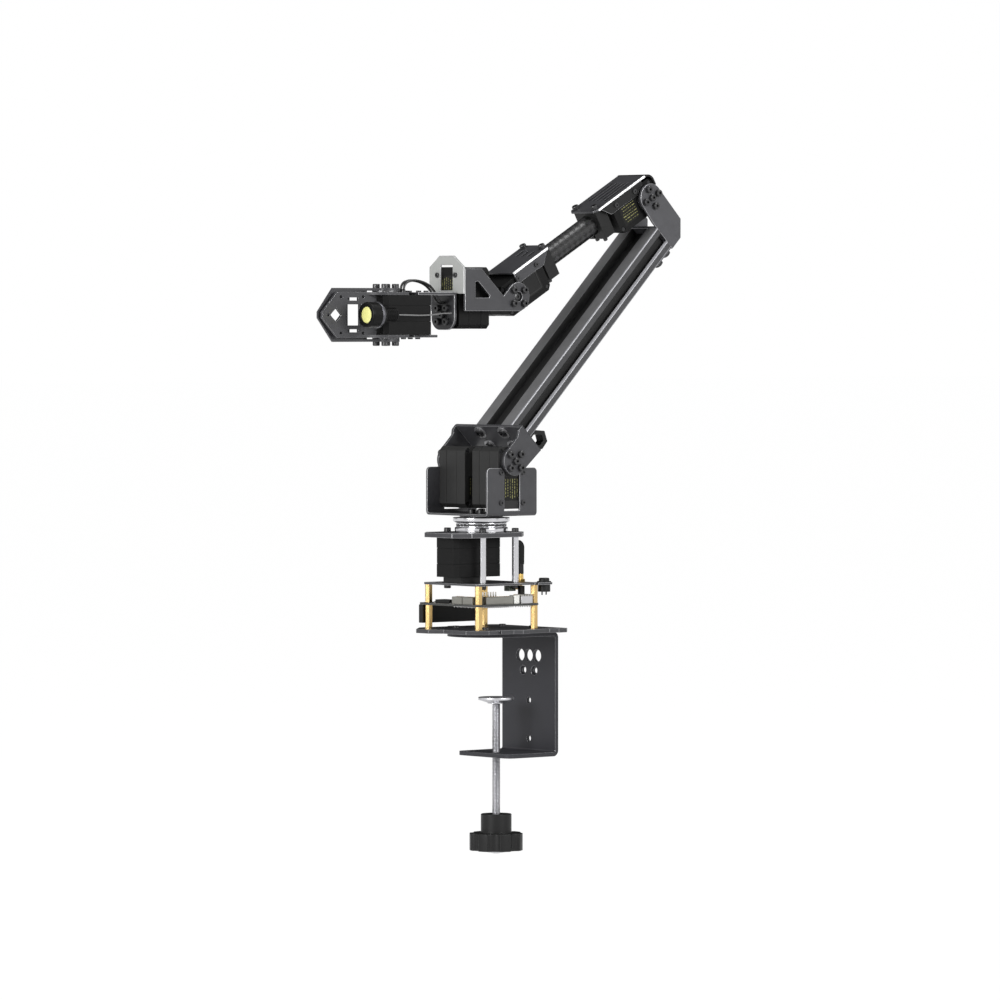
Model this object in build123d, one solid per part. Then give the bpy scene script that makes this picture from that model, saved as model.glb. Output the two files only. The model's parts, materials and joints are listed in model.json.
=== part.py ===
"""Desktop robot arm on a table clamp: base stack, shoulder, beam, forearm, rolling wrist and gripper.

Millimetres, +Z up. The underside of the clamp's top flange is at Z 0, the turning axis of the base
is the Z axis, +X points forward over the table and +Y is the arm's left. Each moving link is drawn
upright in its own frame, with its hinge at the origin, and then placed as it stands in the picture.
"""

import os
from math import cos, radians, sin, tan

from build123d import *

# Running clearances
run_gap = 0.3
shaft_gap = 0.05

# Posture: how far the beam leans back, and how far the forearm dips
beam_lean = 44.7
forearm_dip = 29.5

# Servo motor: every joint uses the same case, shaft near one end
servo_length = 45.2
servo_width = 24.7
servo_thick = 29.0
servo_shaft_end = 10.2
servo_chamfer = 3.0
servo_groove = 0.4
servo_layers = (0.33, 0.73)
horn_radius = 10.0
horn_thick = 3.0
horn_bolt_circle = 14.0

# Screws
m3_head_radius = 2.6
m3_head_height = 3.0
m2_head_radius = 1.9
m2_head_height = 1.2
m5_head_radius = 4.6
m5_head_height = 2.6
head_flats = 12

# Table clamp
clamp_sheet = 3.0
clamp_width = 60.0
clamp_height = 92.0
clamp_back_x = -49.0
clamp_nose_x = 23.5
clamp_foot_x = -1.0
clamp_bend = 4.5
clamp_corner = 6.0
clamp_slot_radius = 4.6
clamp_slot_pitch = 9.4
clamp_slot_z = -15.5
clamp_small_radius = 2.2
clamp_small_sink = 1.3
clamp_small_y = 6.25
clamp_small_z = -26.6
clamp_mount_radius = 2.5
clamp_mount_z = -48.8
clamp_mount_spacing = 28.4
screw_x = -14.4
screw_radius = 3.0
pad_radius = 13.25
pad_hub_radius = 6.5
pad_rim = 2.0
pad_height = 4.7
pad_top_z = -45.3
pad_socket = 3.0
knob_top_z = -131.5
knob_hub_radius = 11.35
knob_hub_height = 14.0
knob_star_radius = 19.7
knob_star_height = 13.0
knob_lobes = 7
knob_hollow_radius = 6.0
dome_radius = 5.0
dome_height = 2.2

# Base plate and its stack
base_sheet = 3.0
base_half_width = 38.0
base_front_x = 37.0
base_back_x = -50.0
base_corner = 12.0
lug_front_x = 45.0
lug_front_y = (-21.0, -7.0)
lug_reach = 4.9
lug_middle_x = (-10.0, -3.8)
lug_rear_x = (-46.0, -38.5)
base_hole_radius = 2.15
base_hole_x = -42.5
base_hole_spacing = 74.0
standoff_flats = 5.0
standoff_x = 26.8
standoff_y = 28.3
lower_standoff_length = 17.1
board_x = 30.5
board_y = (-36.0, 30.8)
deck_y = 31.0
board_corner = 3.0
board_thick = 1.6
upper_standoff_length = 13.5
deck_thick = 1.6
ear_x = -41.0
ear_y = (22.0, 35.0)
ear_corner = 4.0
button_x = -36.0
button_y = 29.0
button_flange_radius = 5.2
button_flange_height = 0.8
button_body_radius = 4.6
button_body_depth = 7.0
button_cap_radius = 3.9
button_cap_height = 2.4
button_stroke = 1.2
button_pin_depth = 2.4
button_pin_radius = 0.5
button_pin_spread = 2.0
antenna_x = -25.5
antenna_y = 13.0
antenna_root_radius = 3.4
antenna_width = 10.0
antenna_thick = 5.0
antenna_top_z = 70.5
antenna_turn = -40.6
connector_height = 7.4
header_x = (-21.0, 30.0)
header_y = (-35.9, -31.4)
header_height = 13.5
post_x = 15.7
post_y = 20.0
post_radius = 2.5
post_length = 33.6
motor_plate_x = (-27.7, 41.5)
motor_plate_y = 26.0
motor_plate_chamfer = 10.4
motor_plate_thick = 3.5
hub_opening_radius = 11.0
foot_block_x = (8.0, 28.0)
foot_block_y = 10.0

# Thrust bearing under the shoulder
bearing_bore_radius = 12.5
lower_washer_radius = 19.7
upper_washer_radius = 21.0
washer_thick = 3.5
cage_thick = 3.4
cage_radius = 18.6
cage_bore_radius = 13.6
hub_flange_radius = 16.0
hub_spacer = 1.6

# Shoulder
servo_floor_gap = 3.8
bracket_half_x = 24.0
bracket_sheet = 1.5
bracket_wall = 35.3
bracket_corner = 3.0
bracket_slot_half = 7.35
bracket_slot_floor = 4.0
bracket_arc_radius = 11.2
bracket_hole_x = 10.5
bracket_screw_up = (9.8, 32.1)
servo_outer_y = 33.2
yoke_sheet = 2.0
yoke_web = 22.0
yoke_tongue = 10.5
yoke_front = 13.1
yoke_back = 12.4
yoke_step = (15.0, 18.6)
yoke_bolt_y = 13.0
yoke_bolt_x = 7.0

# Beam of the upper arm
beam_wide = 40.0
beam_deep = 20.0
beam_length = 208.0
beam_channel = 16.6
beam_channel_depth = 6.0
beam_slot_mouth = 9.0
beam_slot_neck = 6.2
beam_slot_lip = 1.8
beam_slot_wide = 10.5
beam_slot_depth = 5.4
clip_width = 8.0
clip_y = 15.0
clip_outline = ((0, 41), (7, 47), (14.5, 43.5), (15, 36), (7, 28), (0, 28))
clip_window = ((1.5, 38.5), (7.5, 43), (11.5, 41), (11.5, 36.5), (6, 31), (1.5, 31))

# Elbow
elbow_out = 29.8
arm_ear_outer_y = 19.5
arm_ear_sheet = 2.0
ear_round = 10.5
elbow_foot = 12.1
elbow_flange_length = 18.0
elbow_flange_bolts = (4.0, 14.5)
elbow_flange_y = 13.6

# Forearm
forearm_length = 150.6
cover_sheet = 1.5
cover_gap = 2.35
cover_side_y = 16.0
cover_rear_x = 51.0
cover_front_length = 49.0
cover_front_start = 7.0
cover_bolt_y = 10.5
hood_end = -11.9
hood_low = 5.0
hood_round = 7.0
tube_radius = 8.0
tube_wall = 1.5
tube_q = 3.5
tube_clamp_length = 10.5
tube_clamp_start = 38.5
tube_clamp_half = 12.0
tube_clamp_bottom = -8.0
tube_split = 1.6

# Wrist
yoke_plate_top = 20.4
yoke_plate_back_top = 35.5
yoke_notch = (14.4, 0.4)
yoke_plate_bottom = -10.5
wrist_eye_radius = 3.6
roll_drop = 13.4
roll_servo_x = 22.4
roll_plate_sheet = 1.5
roll_plate_top = 29.9
roll_plate_bottom = 2.0
roll_plate_top_half = 8.0
roll_plate_shoulder = 21.5
roll_slot_half = 7.0
roll_slot_z = (4.5, 23.0)
roll_screw_y = 10.15
roll_screw_z = 15.7

# Gripper, from the face of the roll horn
frame_sheet = 2.0
frame_low = -11.0
frame_round = 9.0
frame_strip_x = 13.7
frame_strip_half = 8.0
frame_half_y = 13.0
frame_end_x = 36.0
frame_window = (4.0, 15.0)
frame_window_half = 6.5
frame_screw_x = (26.0, 33.0)
frame_screw_y = 9.5
grip_axis_x = 56.1
grip_ring_radius = 15.3
grip_ring_back = 45.0
jaw_sheet = 2.0
jaw_round = 10.0
fixed_web_y = 1.8
moving_web_y = -3.0
fixed_jaw_half = 16.5
moving_jaw_half = 19.5
fixed_web_x = 68.0
moving_web_x = 73.0
jaw_taper_x = 104.6
jaw_tip_x = 118.4
jaw_tip_half = 2.2
fixed_window = (83.8, 96.0)
moving_window = (77.5, 91.0)
jaw_window_half = 7.6
fixed_diamond = (105.8, 5.1)
moving_diamond = (101.3, 6.0)
jaw_diamond_half = 5.4
jaw_hole_radius = 1.25
jaw_holes = ((80.4, 13.1), (101.1, 13.0))
jaw_pin_hole = 1.1
jaw_pin_x = 113.0
jaw_slot_z = 11.5
jaw_slot = (10.0, 2.2)
lamp_y = 22.0
lamp_tab_x = 80.0
lamp_tab_half = 7.5
lamp_head_radius = 9.3
lamp_head_length = 11.0
lamp_lens_radius = 6.0
lamp_lens_depth = 1.6
lamp_stem_radius = 5.0
lamp_stem_length = 14.4
lamp_nut_radius = 7.2
lamp_nut_thick = 2.0
lead_radius = 0.9
lamp_lead_radius = 0.55
lead_flats = 8
lead_spacing = 3.4
lead_socket_x = (38.2, 43.0)
lead_socket_height = 3.2

# Levels worked out from the sizes above
plate_z = clamp_sheet + base_sheet
board_z = plate_z + lower_standoff_length
board_top = board_z + board_thick
deck_z = board_top + upper_standoff_length
deck_top = deck_z + deck_thick
motor_z = deck_top + post_length
motor_top = motor_z + motor_plate_thick
bracket_z = motor_top + 2 * washer_thick + cage_thick + run_gap + hub_spacer
servo_half = servo_thick / 2
servo_tail = servo_length - servo_shaft_end
shoulder_height = bracket_z + bracket_sheet + servo_floor_gap + servo_tail
bracket_top_z = bracket_z + bracket_wall
beam_end = yoke_web + yoke_sheet + beam_length
elbow_up = beam_end + elbow_foot
ear_inner_y = arm_ear_outer_y - arm_ear_sheet
cover_z = servo_width / 2 + cover_gap
cover_top = cover_z + cover_sheet


def block(x0, x1, y0, y1, z0, z1):
    """A block between two opposite corners."""
    middle = Pos((x0 + x1) / 2, (y0 + y1) / 2, (z0 + z1) / 2)
    return middle * Box(x1 - x0, y1 - y0, z1 - z0)


def rod(radius, start, end):
    """A round bar between two points on its axis."""
    way = Vector(*end) - Vector(*start)
    seat = (Align.CENTER, Align.CENTER, Align.MIN)
    return Plane(origin=Vector(*start), z_dir=way) * Cylinder(radius, way.length, align=seat)


def ring(outer, bore, z0, z1):
    """A flat ring about the Z axis."""
    return rod(outer, (0, 0, z0), (0, 0, z1)) - rod(bore, (0, 0, z0 - 1), (0, 0, z1 + 1))


def flat(points, z0, z1):
    """A level sheet with the outline given as X, Y points."""
    return Pos(0, 0, z0) * extrude(make_face(Polyline(*points, close=True)), z1 - z0)


def side(points, y0, y1):
    """A sheet that faces sideways, with the outline given as X, Z points."""
    face = make_face(Polyline(*[(x, 0, z) for x, z in points], close=True))
    return Pos(0, y0, 0) * extrude(face, y1 - y0, dir=(0, 1, 0))


def side_disc(radius, x, z, y0, y1):
    """A disc that faces sideways."""
    return rod(radius, (x, y0, z), (x, y1, z))


def mirrored(shape):
    """A shape and its mirror image across the middle plane."""
    return [shape, mirror(shape, about=Plane.XZ)]


def circle_of(count, circle, start=45.0):
    """Points evenly spaced on a bolt circle, as pairs."""
    turns = [radians(start + 360.0 * n / count) for n in range(count)]
    return [(circle / 2 * cos(a), circle / 2 * sin(a)) for a in turns]


def head(at, way, radius, height):
    """A screw head with flats round its rim, its seat at a point and its top along a direction."""
    return extrude(Plane(origin=Vector(*at), z_dir=Vector(*way)) * RegularPolygon(radius, head_flats), height)


def cap_head(at, way):
    """The head of an M3 socket screw."""
    return head(at, way, m3_head_radius, m3_head_height)


def small_head(at, way):
    """The head of a small pan screw."""
    return head(at, way, m2_head_radius, m2_head_height)


def save(name, shapes, where=None):
    """Write one node, made of one or more solids, placed in the arm's frame."""
    shapes = shapes if isinstance(shapes, (list, tuple)) else [shapes]
    solids = [solid for shape in shapes for solid in shape.solids()]
    whole = Compound(children=[where * solid if where else solid for solid in solids])
    export_step(whole, f"parts/{name}.step")


def servo_case():
    """A servo motor about its own shaft: shaft along Z, case reaching out along X."""
    low, high = -servo_half, servo_half
    half = servo_width / 2
    shape = block(-servo_shaft_end, servo_tail, -half, half, low, high)
    shape = chamfer(shape.edges().filter_by(Axis.Z), servo_chamfer)
    outer = block(-servo_length, servo_length, -servo_length, servo_length, 0, servo_groove)
    side_in = half - servo_groove
    inset = block(servo_groove - servo_shaft_end, servo_tail - servo_groove, -side_in, side_in, 0, 1)
    inset = chamfer(inset.edges().filter_by(Axis.Z), servo_chamfer)
    for share in servo_layers:
        level = low + share * servo_thick
        shape -= Pos(0, 0, level) * (outer - inset)
    return shape


def horns(at_x, at_z, case_half, ear_inner):
    """The two output discs of a servo that lies across the arm, one on each side."""
    disc = side_disc(horn_radius, at_x, at_z, case_half + run_gap, ear_inner)
    return mirrored(disc)


def horn_screws(at_x, at_z, face_y, start=45.0):
    """Four socket screws on the outside of each ear."""
    spots = circle_of(4, horn_bolt_circle, start)
    heads = [cap_head((at_x + x, face_y, at_z + z), (0, 1, 0)) for x, z in spots]
    return [one for pair in heads for one in mirrored(pair)]


def middle_screws(at_x, at_z, face_y):
    """The socket screw in the middle of each ear."""
    return mirrored(cap_head((at_x, face_y, at_z), (0, 1, 0)))


def clamp_bracket():
    """The bent sheet of the clamp: round-nosed top flange, back plate and lower flange."""
    half = clamp_width / 2
    low = clamp_sheet - clamp_height
    inside = clamp_back_x + clamp_sheet
    outer = block(clamp_back_x, clamp_nose_x, -half, half, low, clamp_sheet)
    outer = fillet(outer.edges().filter_by(Axis.Y).group_by(Axis.X)[0], clamp_bend)
    mouth = block(inside, clamp_nose_x + 1, -half - 1, half + 1, low + clamp_sheet, 0)
    mouth = fillet(mouth.edges().filter_by(Axis.Y).group_by(Axis.X)[0], clamp_bend - clamp_sheet)
    nose = rod(half, (clamp_nose_x - half, 0, low), (clamp_nose_x - half, 0, clamp_sheet))
    plan = nose + block(clamp_back_x, clamp_nose_x - half, -half, half, low, clamp_sheet)
    shape = (outer - mouth) & plan
    shape -= block(clamp_foot_x, clamp_nose_x + 1, -half - 1, half + 1, low - 1, low + clamp_sheet + 1)
    ends = [edge for edge in shape.edges().filter_by(Axis.Z) if abs(edge.center().X - clamp_foot_x) < 0.1]
    shape = fillet(ends, clamp_corner)
    holes = [(clamp_slot_radius, n * clamp_slot_pitch, clamp_slot_z) for n in (-1, 0, 1)]
    holes += [(clamp_small_radius, n * clamp_small_y, clamp_small_z) for n in (-1, 1)]
    holes += [(clamp_mount_radius, 0, clamp_mount_z - n * clamp_mount_spacing) for n in (0, 1)]
    for radius, y, z in holes:
        shape -= rod(radius, (clamp_back_x - 1, y, z), (inside + 1, y, z))
    circles = shape.edges().filter_by(GeomType.CIRCLE)
    circles = circles.filter_by(lambda edge: abs(edge.arc_center.X - inside) < 0.01)
    rims = circles.filter_by(lambda edge: abs(edge.arc_center.Z - clamp_small_z) < 0.01)
    shape = chamfer(rims, clamp_small_sink)
    shape -= rod(screw_radius + shaft_gap, (screw_x, 0, low - 1), (screw_x, 0, low + clamp_sheet + 1))
    return shape


def clamp_bracket_screws():
    """Four low button heads that hold the base plate on the clamp's top flange."""
    spots = [(x, y) for x in (clamp_back_x + 14, clamp_nose_x - 13.5) for y in (-17.0, 17.0)]
    top = plate_z
    return [rod(m3_head_radius, (x, y, top), (x, y, top + m3_head_height / 2)) for x, y in spots]


def base_plate():
    """The base plate: lugs on both sides and in front, cut corners and a small notch."""
    lug_y = base_half_width + lug_reach
    side_edge = [
        (base_front_x - base_corner, base_half_width),
        (lug_middle_x[1] + lug_reach, base_half_width),
        (lug_middle_x[1], lug_y),
        (lug_middle_x[0], lug_y),
        (lug_middle_x[0], base_half_width),
        (lug_rear_x[1] + lug_reach, base_half_width),
        (lug_rear_x[1], lug_y),
        (lug_rear_x[0], lug_y),
        (base_back_x, lug_y + base_back_x - lug_rear_x[0]),
    ]
    far_edge = [(x, -y) for x, y in reversed(side_edge)]
    lug_step = lug_front_x - base_front_x
    far_edge[-1] = (lug_front_x - base_half_width - lug_front_y[0], -base_half_width)
    front = [
        (lug_front_x, lug_front_y[0]),
        (lug_front_x, lug_front_y[1]),
        (base_front_x, lug_front_y[1] + lug_step),
        (base_front_x, base_half_width - base_corner),
    ]
    shape = flat(side_edge + far_edge + front, clamp_sheet, plate_z)
    notch = lug_middle_x[1] + lug_reach + 12.0
    shape -= block(notch, notch + 3.3, base_half_width - 2.5, lug_y, 0, plate_z + 1)
    holes = [(base_hole_x, n * base_hole_spacing / 2) for n in (-1, 1)]
    for x, y in holes:
        shape -= rod(base_hole_radius, (x, y, 0), (x, y, plate_z + 1))
    return shape


def standoffs(z0, length):
    """Four hexagonal brass standoffs."""
    hexagon = RegularPolygon(standoff_flats / 2, 6, major_radius=False)
    post = extrude(hexagon, length)
    return [Pos(x, y, z0) * post for x in (-standoff_x, standoff_x) for y in (-standoff_y, standoff_y)]


def board_blank(y0, y1, z0, thick):
    """A board or plate with round corners."""
    shape = block(-board_x, board_x, y0, y1, z0, z0 + thick)
    return fillet(shape.edges().filter_by(Axis.Z), board_corner)


def board_connectors():
    """The connector housings that stand along the edges of the control board."""
    z0, z1 = board_top, board_top + connector_height - 2
    edge = board_y[1]
    shapes = [block(board_x - 8, board_x - 1, 1.2 + n * 12, 12.6 + n * 12, z0, z1) for n in (0, 1)]
    shapes.append(block(-5.7, 20.5, edge - 8, edge - 1, z0, z1))
    shapes.append(block(-11.5, -6.4, edge - 7, edge - 1, z0, z0 + 6.2))
    shapes.append(block(-23.5, -12.5, edge - 10, edge, z0, z0 + connector_height))
    shapes.append(block(board_x - 12, board_x - 3, -20, -4, z0, z0 + 2.6))
    shapes.append(block(-board_x - 1.5, -board_x + 5.5, -8, 1, z0, z0 + 3.2))
    return shapes


def board_chips():
    """The larger chips on the top of the board."""
    z0 = board_top
    shapes = [block(-6, 8, -10, 4, z0, z0 + 3.1)]
    shapes.append(block(-22, -12, -24, -14, z0, z0 + 1.4))
    shapes.append(block(4, 12, -26, -18, z0, z0 + 1.4))
    return shapes


def pin_header():
    """The long socket strip under the far edge of the board."""
    return block(header_x[0], header_x[1], header_y[0], header_y[1], board_z - header_height, board_z)


def deck_plate():
    """The thin deck over the board, with the ear that carries the power button."""
    ear = block(ear_x, -board_x + board_corner + 2, ear_y[0], ear_y[1], deck_z, deck_top)
    ear = fillet(ear.edges().filter_by(Axis.Z).group_by(Axis.X)[0], ear_corner)
    shape = board_blank(-deck_y, deck_y, deck_z, deck_thick) + ear
    shape -= rod(button_body_radius + shaft_gap, (button_x, button_y, 0), (button_x, button_y, deck_top + 1))
    return shape


def power_button_body():
    """The bushing of the power button, open at the top, with two pins below."""
    at = (button_x, button_y)
    low = deck_top - button_body_depth
    flange_top = deck_top + button_flange_height
    shape = rod(button_body_radius, (*at, low), (*at, flange_top))
    shape += rod(button_flange_radius, (*at, deck_top), (*at, flange_top))
    floor = flange_top - button_cap_height - button_stroke - run_gap
    shape -= rod(button_cap_radius + shaft_gap, (*at, floor), (*at, flange_top + 1))
    pins = []
    for x in (button_x - button_pin_spread, button_x + button_pin_spread):
        pins.append(rod(button_pin_radius, (x, button_y, low - button_pin_depth), (x, button_y, low)))
    return [shape] + pins


def power_button():
    """The round cap that is pressed, resting on its spring."""
    flange_top = deck_top + button_flange_height
    low, high = flange_top - button_cap_height, flange_top + button_cap_height
    cap = rod(button_cap_radius, (button_x, button_y, low), (button_x, button_y, high))
    return chamfer(cap.edges().group_by(Axis.Z)[-1], 0.6)


def antenna_connector():
    """The gold aerial socket on the deck: a hexagonal nut and a threaded neck."""
    nut = extrude(RegularPolygon(4.0, 6, major_radius=False), 2.2)
    neck = rod(antenna_root_radius - 0.3, (0, 0, 2.2), (0, 0, 6.0))
    tail = rod(antenna_root_radius - 0.9, (0, 0, -deck_thick - 4), (0, 0, -deck_thick))
    return [Pos(antenna_x, antenna_y, deck_top) * shape for shape in (nut + neck, tail)]


def antenna():
    """The flat black aerial that widens towards its round top."""
    root_z = deck_top + 6.0
    half = antenna_width / 2
    neck_z = root_z + 7.0
    root = rod(antenna_root_radius, (0, 0, root_z), (0, 0, neck_z))
    wide_z = antenna_top_z - half
    outline = [(-half + 1.2, neck_z), (half - 1.2, neck_z), (half, wide_z), (-half, wide_z)]
    blade = side(outline, -antenna_thick / 2, antenna_thick / 2)
    blade += side_disc(half, 0, wide_z, -antenna_thick / 2, antenna_thick / 2)
    return Pos(antenna_x, antenna_y, 0) * Rot(0, 0, antenna_turn) * (root + blade)


def motor_posts():
    """Four round steel posts between the deck and the motor plate."""
    spots = [(x, y) for x in (-post_x, post_x) for y in (-post_y, post_y)]
    return [rod(post_radius, (x, y, deck_top), (x, y, motor_z)) for x, y in spots]


def stack_screws():
    """The socket screws above and below the steel posts."""
    spots = [(x, y) for x in (-post_x, post_x) for y in (-post_y, post_y)]
    upper = [cap_head((x, y, motor_top), (0, 0, 1)) for x, y in spots]
    lower = [cap_head((x, y, deck_z), (0, 0, -1)) for x, y in spots]
    return upper + lower


def motor_plate():
    """The thick plate with cut corners that carries the base servo and the bearing."""
    shape = block(motor_plate_x[0], motor_plate_x[1], -motor_plate_y, motor_plate_y, motor_z, motor_top)
    shape = chamfer(shape.edges().filter_by(Axis.Z), motor_plate_chamfer)
    return shape - rod(hub_opening_radius, (0, 0, motor_z - 1), (0, 0, motor_top + 1))


def servo_foot():
    """The block between the base servo and the deck."""
    low = motor_z - servo_thick
    return block(foot_block_x[0], foot_block_x[1], -foot_block_y, foot_block_y, deck_top, low)


def bearing_lower_washer():
    """The lower washer of the thrust bearing."""
    shape = ring(lower_washer_radius, bearing_bore_radius, motor_top, motor_top + washer_thick)
    return chamfer(shape.edges().group_by(Axis.Z)[-1].sort_by(SortBy.RADIUS)[-1], 0.6)


def bearing_cage():
    """The ball cage of the thrust bearing, with a groove round its rim."""
    z0 = motor_top + washer_thick
    z1 = z0 + cage_thick
    rim = ring(cage_radius + 1, cage_radius - 0.8, z0 + 1, z1 - 1)
    return ring(cage_radius, cage_bore_radius, z0, z1) - rim


def bearing_upper_washer():
    """The upper washer, which turns with the shoulder."""
    z0 = motor_top + washer_thick + cage_thick + run_gap
    shape = ring(upper_washer_radius, bearing_bore_radius, z0, z0 + washer_thick)
    return chamfer(shape.edges().group_by(Axis.Z)[0].sort_by(SortBy.RADIUS)[-1], 0.8)


def yaw_hub():
    """The hub on the base servo's shaft, up through the bearing to the shoulder bracket."""
    flange_z = bracket_z - hub_spacer
    hub = rod(horn_radius, (0, 0, motor_z + run_gap), (0, 0, flange_z))
    return hub + rod(hub_flange_radius, (0, 0, flange_z), (0, 0, bracket_z))


def shoulder_bracket():
    """The U-shaped bracket that holds both shoulder servos."""
    inner, outer = servo_outer_y, servo_outer_y + bracket_sheet
    half = bracket_half_x
    shape = block(-half, half, -outer, outer, bracket_z, bracket_top_z)
    shape = fillet(shape.edges().filter_by(Axis.X).group_by(Axis.Z)[0], 2 * bracket_sheet)
    room = block(-half - 1, half + 1, -inner, inner, bracket_z + bracket_sheet, bracket_top_z + 1)
    shape -= fillet(room.edges().filter_by(Axis.X).group_by(Axis.Z)[0], bracket_sheet)
    shape = fillet(shape.edges().filter_by(Axis.Y).group_by(Axis.Z)[-1].group_by(Axis.X)[0], bracket_corner)
    shape = fillet(shape.edges().filter_by(Axis.Y).group_by(Axis.Z)[-1].group_by(Axis.X)[-1], bracket_corner)
    floor = bracket_z + bracket_slot_floor
    shape -= block(-bracket_slot_half, bracket_slot_half, -outer - 1, outer + 1, floor, bracket_top_z + 1)
    shape -= side_disc(bracket_arc_radius, 0, shoulder_height, -outer - 1, outer + 1)
    return shape


def shoulder_bracket_screws():
    """The small screws in the bracket's sides and the bolts of its hub."""
    face = servo_outer_y + bracket_sheet
    spots = [(x, z) for x in (-bracket_hole_x, bracket_hole_x) for z in bracket_screw_up]
    small = [small_head((x, face, bracket_z + z), (0, 1, 0)) for x, z in spots]
    hub = circle_of(4, horn_bolt_circle) + [(0.0, 0.0)]
    bolts = [cap_head((x, y, bracket_z + bracket_sheet), (0, 0, 1)) for x, y in hub]
    return [head for one in small for head in mirrored(one)] + bolts


def shoulder_yoke():
    """The yoke of the upper arm: an ear on each shoulder horn, joined by a web under the beam."""
    inner = servo_outer_y + horn_thick
    outer = inner + yoke_sheet
    top = yoke_web + yoke_sheet
    outline = [
        (yoke_tongue, 0),
        (yoke_tongue, yoke_step[0]),
        (yoke_front, yoke_step[1]),
        (yoke_front, top),
        (-yoke_back, top),
        (-yoke_tongue, 0),
    ]
    ear = side(outline, inner, outer) + side_disc(yoke_tongue, 0, 0, inner, outer)
    shape = block(-yoke_back, yoke_front, -outer, outer, yoke_web, top)
    for one in mirrored(ear):
        shape += one
    bends = shape.edges().filter_by(Axis.X).group_by(Axis.Z)[-1]
    return fillet(bends, 0.8 * yoke_sheet)


def yoke_bolts():
    """Four button-head bolts that hold the yoke's web to the end of the beam."""
    low = yoke_web - m5_head_height
    spots = [(x, y) for x in (-yoke_bolt_x, yoke_bolt_x) for y in (-yoke_bolt_y, yoke_bolt_y)]
    heads = []
    for x, y in spots:
        washer = head((x, y, yoke_web), (0, 0, -1), m5_head_radius, 0.8)
        heads.append(washer + head((x, y, yoke_web - 0.8), (0, 0, -1), m5_head_radius - 1, yoke_web - 0.8 - low))
    return heads


def beam_section():
    """The beam's profile: wide channels front and back, and a slot in each side."""
    shape = RectangleRounded(beam_deep, beam_wide, 1.0)
    for turn in (0, 180):
        channel = Rectangle(beam_channel_depth, beam_channel, align=(Align.MAX, Align.CENTER))
        shape -= Rot(0, 0, turn) * Pos(beam_deep / 2, 0) * channel
        lip = beam_wide / 2 - beam_slot_lip
        mouth = make_face(
            Polyline(
                (-beam_slot_mouth / 2, beam_wide / 2),
                (beam_slot_mouth / 2, beam_wide / 2),
                (beam_slot_neck / 2, lip),
                (-beam_slot_neck / 2, lip),
                close=True,
            )
        )
        room = Rectangle(beam_slot_wide, beam_slot_depth - beam_slot_lip, align=(Align.CENTER, Align.MAX))
        shape -= Rot(0, 0, turn) * mouth
        shape -= Rot(0, 0, turn) * Pos(0, lip) * room
    return shape


def arm_beam():
    """The extruded beam of the upper arm."""
    start = yoke_web + yoke_sheet
    return Pos(0, 0, start) * extrude(beam_section(), beam_length)


def beam_clip():
    """The strap on the beam's back that guides the leads."""
    back = -beam_deep / 2
    outline = [(back - out, up) for out, up in clip_outline]
    window = [(back - out, up) for out, up in clip_window]
    y0, y1 = clip_y - clip_width / 2, clip_y + clip_width / 2
    return side(outline, y0, y1) - side(window, y0 - 1, y1 + 1)


def elbow_bracket():
    """The bracket on the beam's end, with two ears that reach forward to the elbow's shaft."""
    back = -beam_deep / 2 - arm_ear_sheet
    low = beam_end
    web_top = low + arm_ear_sheet
    high = elbow_up + ear_round - 0.7
    outline = [
        (back, low),
        (back, elbow_up - 0.4),
        (back + 10, high),
        (elbow_out, elbow_up + ear_round),
        (elbow_out, elbow_up - ear_round),
        (beam_deep / 2 + 6, low),
    ]
    ear = side(outline, ear_inner_y, arm_ear_outer_y)
    ear += side_disc(ear_round, elbow_out, elbow_up, ear_inner_y, arm_ear_outer_y)
    shape = block(back, beam_deep / 2, -arm_ear_outer_y, arm_ear_outer_y, low, web_top)
    for one in mirrored(ear):
        shape += one
    shape += block(back, -beam_deep / 2, -ear_inner_y, ear_inner_y, low - elbow_flange_length, web_top)
    for y in (-8.0, 0.0, 8.0):
        shape -= rod(2.0, (0, y, low - 1), (0, y, web_top + 1))
    return shape


def elbow_bracket_screws():
    """The four round bolts in the flange on the beam's back."""
    back = -beam_deep / 2 - arm_ear_sheet
    spots = [(y, beam_end - drop) for y in (-elbow_flange_y, elbow_flange_y) for drop in elbow_flange_bolts]
    return [head((back, y, z), (-1, 0, 0), m5_head_radius - 1, m5_head_height) for y, z in spots]


def servo_across(at_x, at_z, turn):
    """A servo with its shaft across the arm; turn swings the case about the shaft."""
    return Pos(at_x, 0, at_z) * Rot(0, turn, 0) * Rot(90, 0, 0) * servo_case()


def cover(start, end, lip_end):
    """A bent cover over one end of the forearm: top plate, side flanges and a cut-back lip."""
    side_y = cover_side_y
    inner_y = side_y - cover_sheet
    way = 1 if lip_end > start else -1
    low = servo_width / 2 - 5.5
    lip = lip_end - way * 4.0
    plan = [
        (start, -side_y),
        (lip, -side_y),
        (lip_end, 4 - side_y),
        (lip_end, side_y - 4),
        (lip, side_y),
        (start, side_y),
    ]
    top = flat(plan, cover_z, cover_top)
    flange_end = lip_end - way * 4.0
    outline = [(start, cover_top), (flange_end, cover_top), (flange_end - way * 9.0, low), (start, low)]
    shape = top
    for one in mirrored(side(outline, inner_y, side_y)):
        shape += one
    shaft_x = 0.0 if way > 0 else forearm_length
    return shape - side_disc(horn_radius + 0.8, shaft_x, 0, -side_y - 1, side_y + 1)


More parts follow.
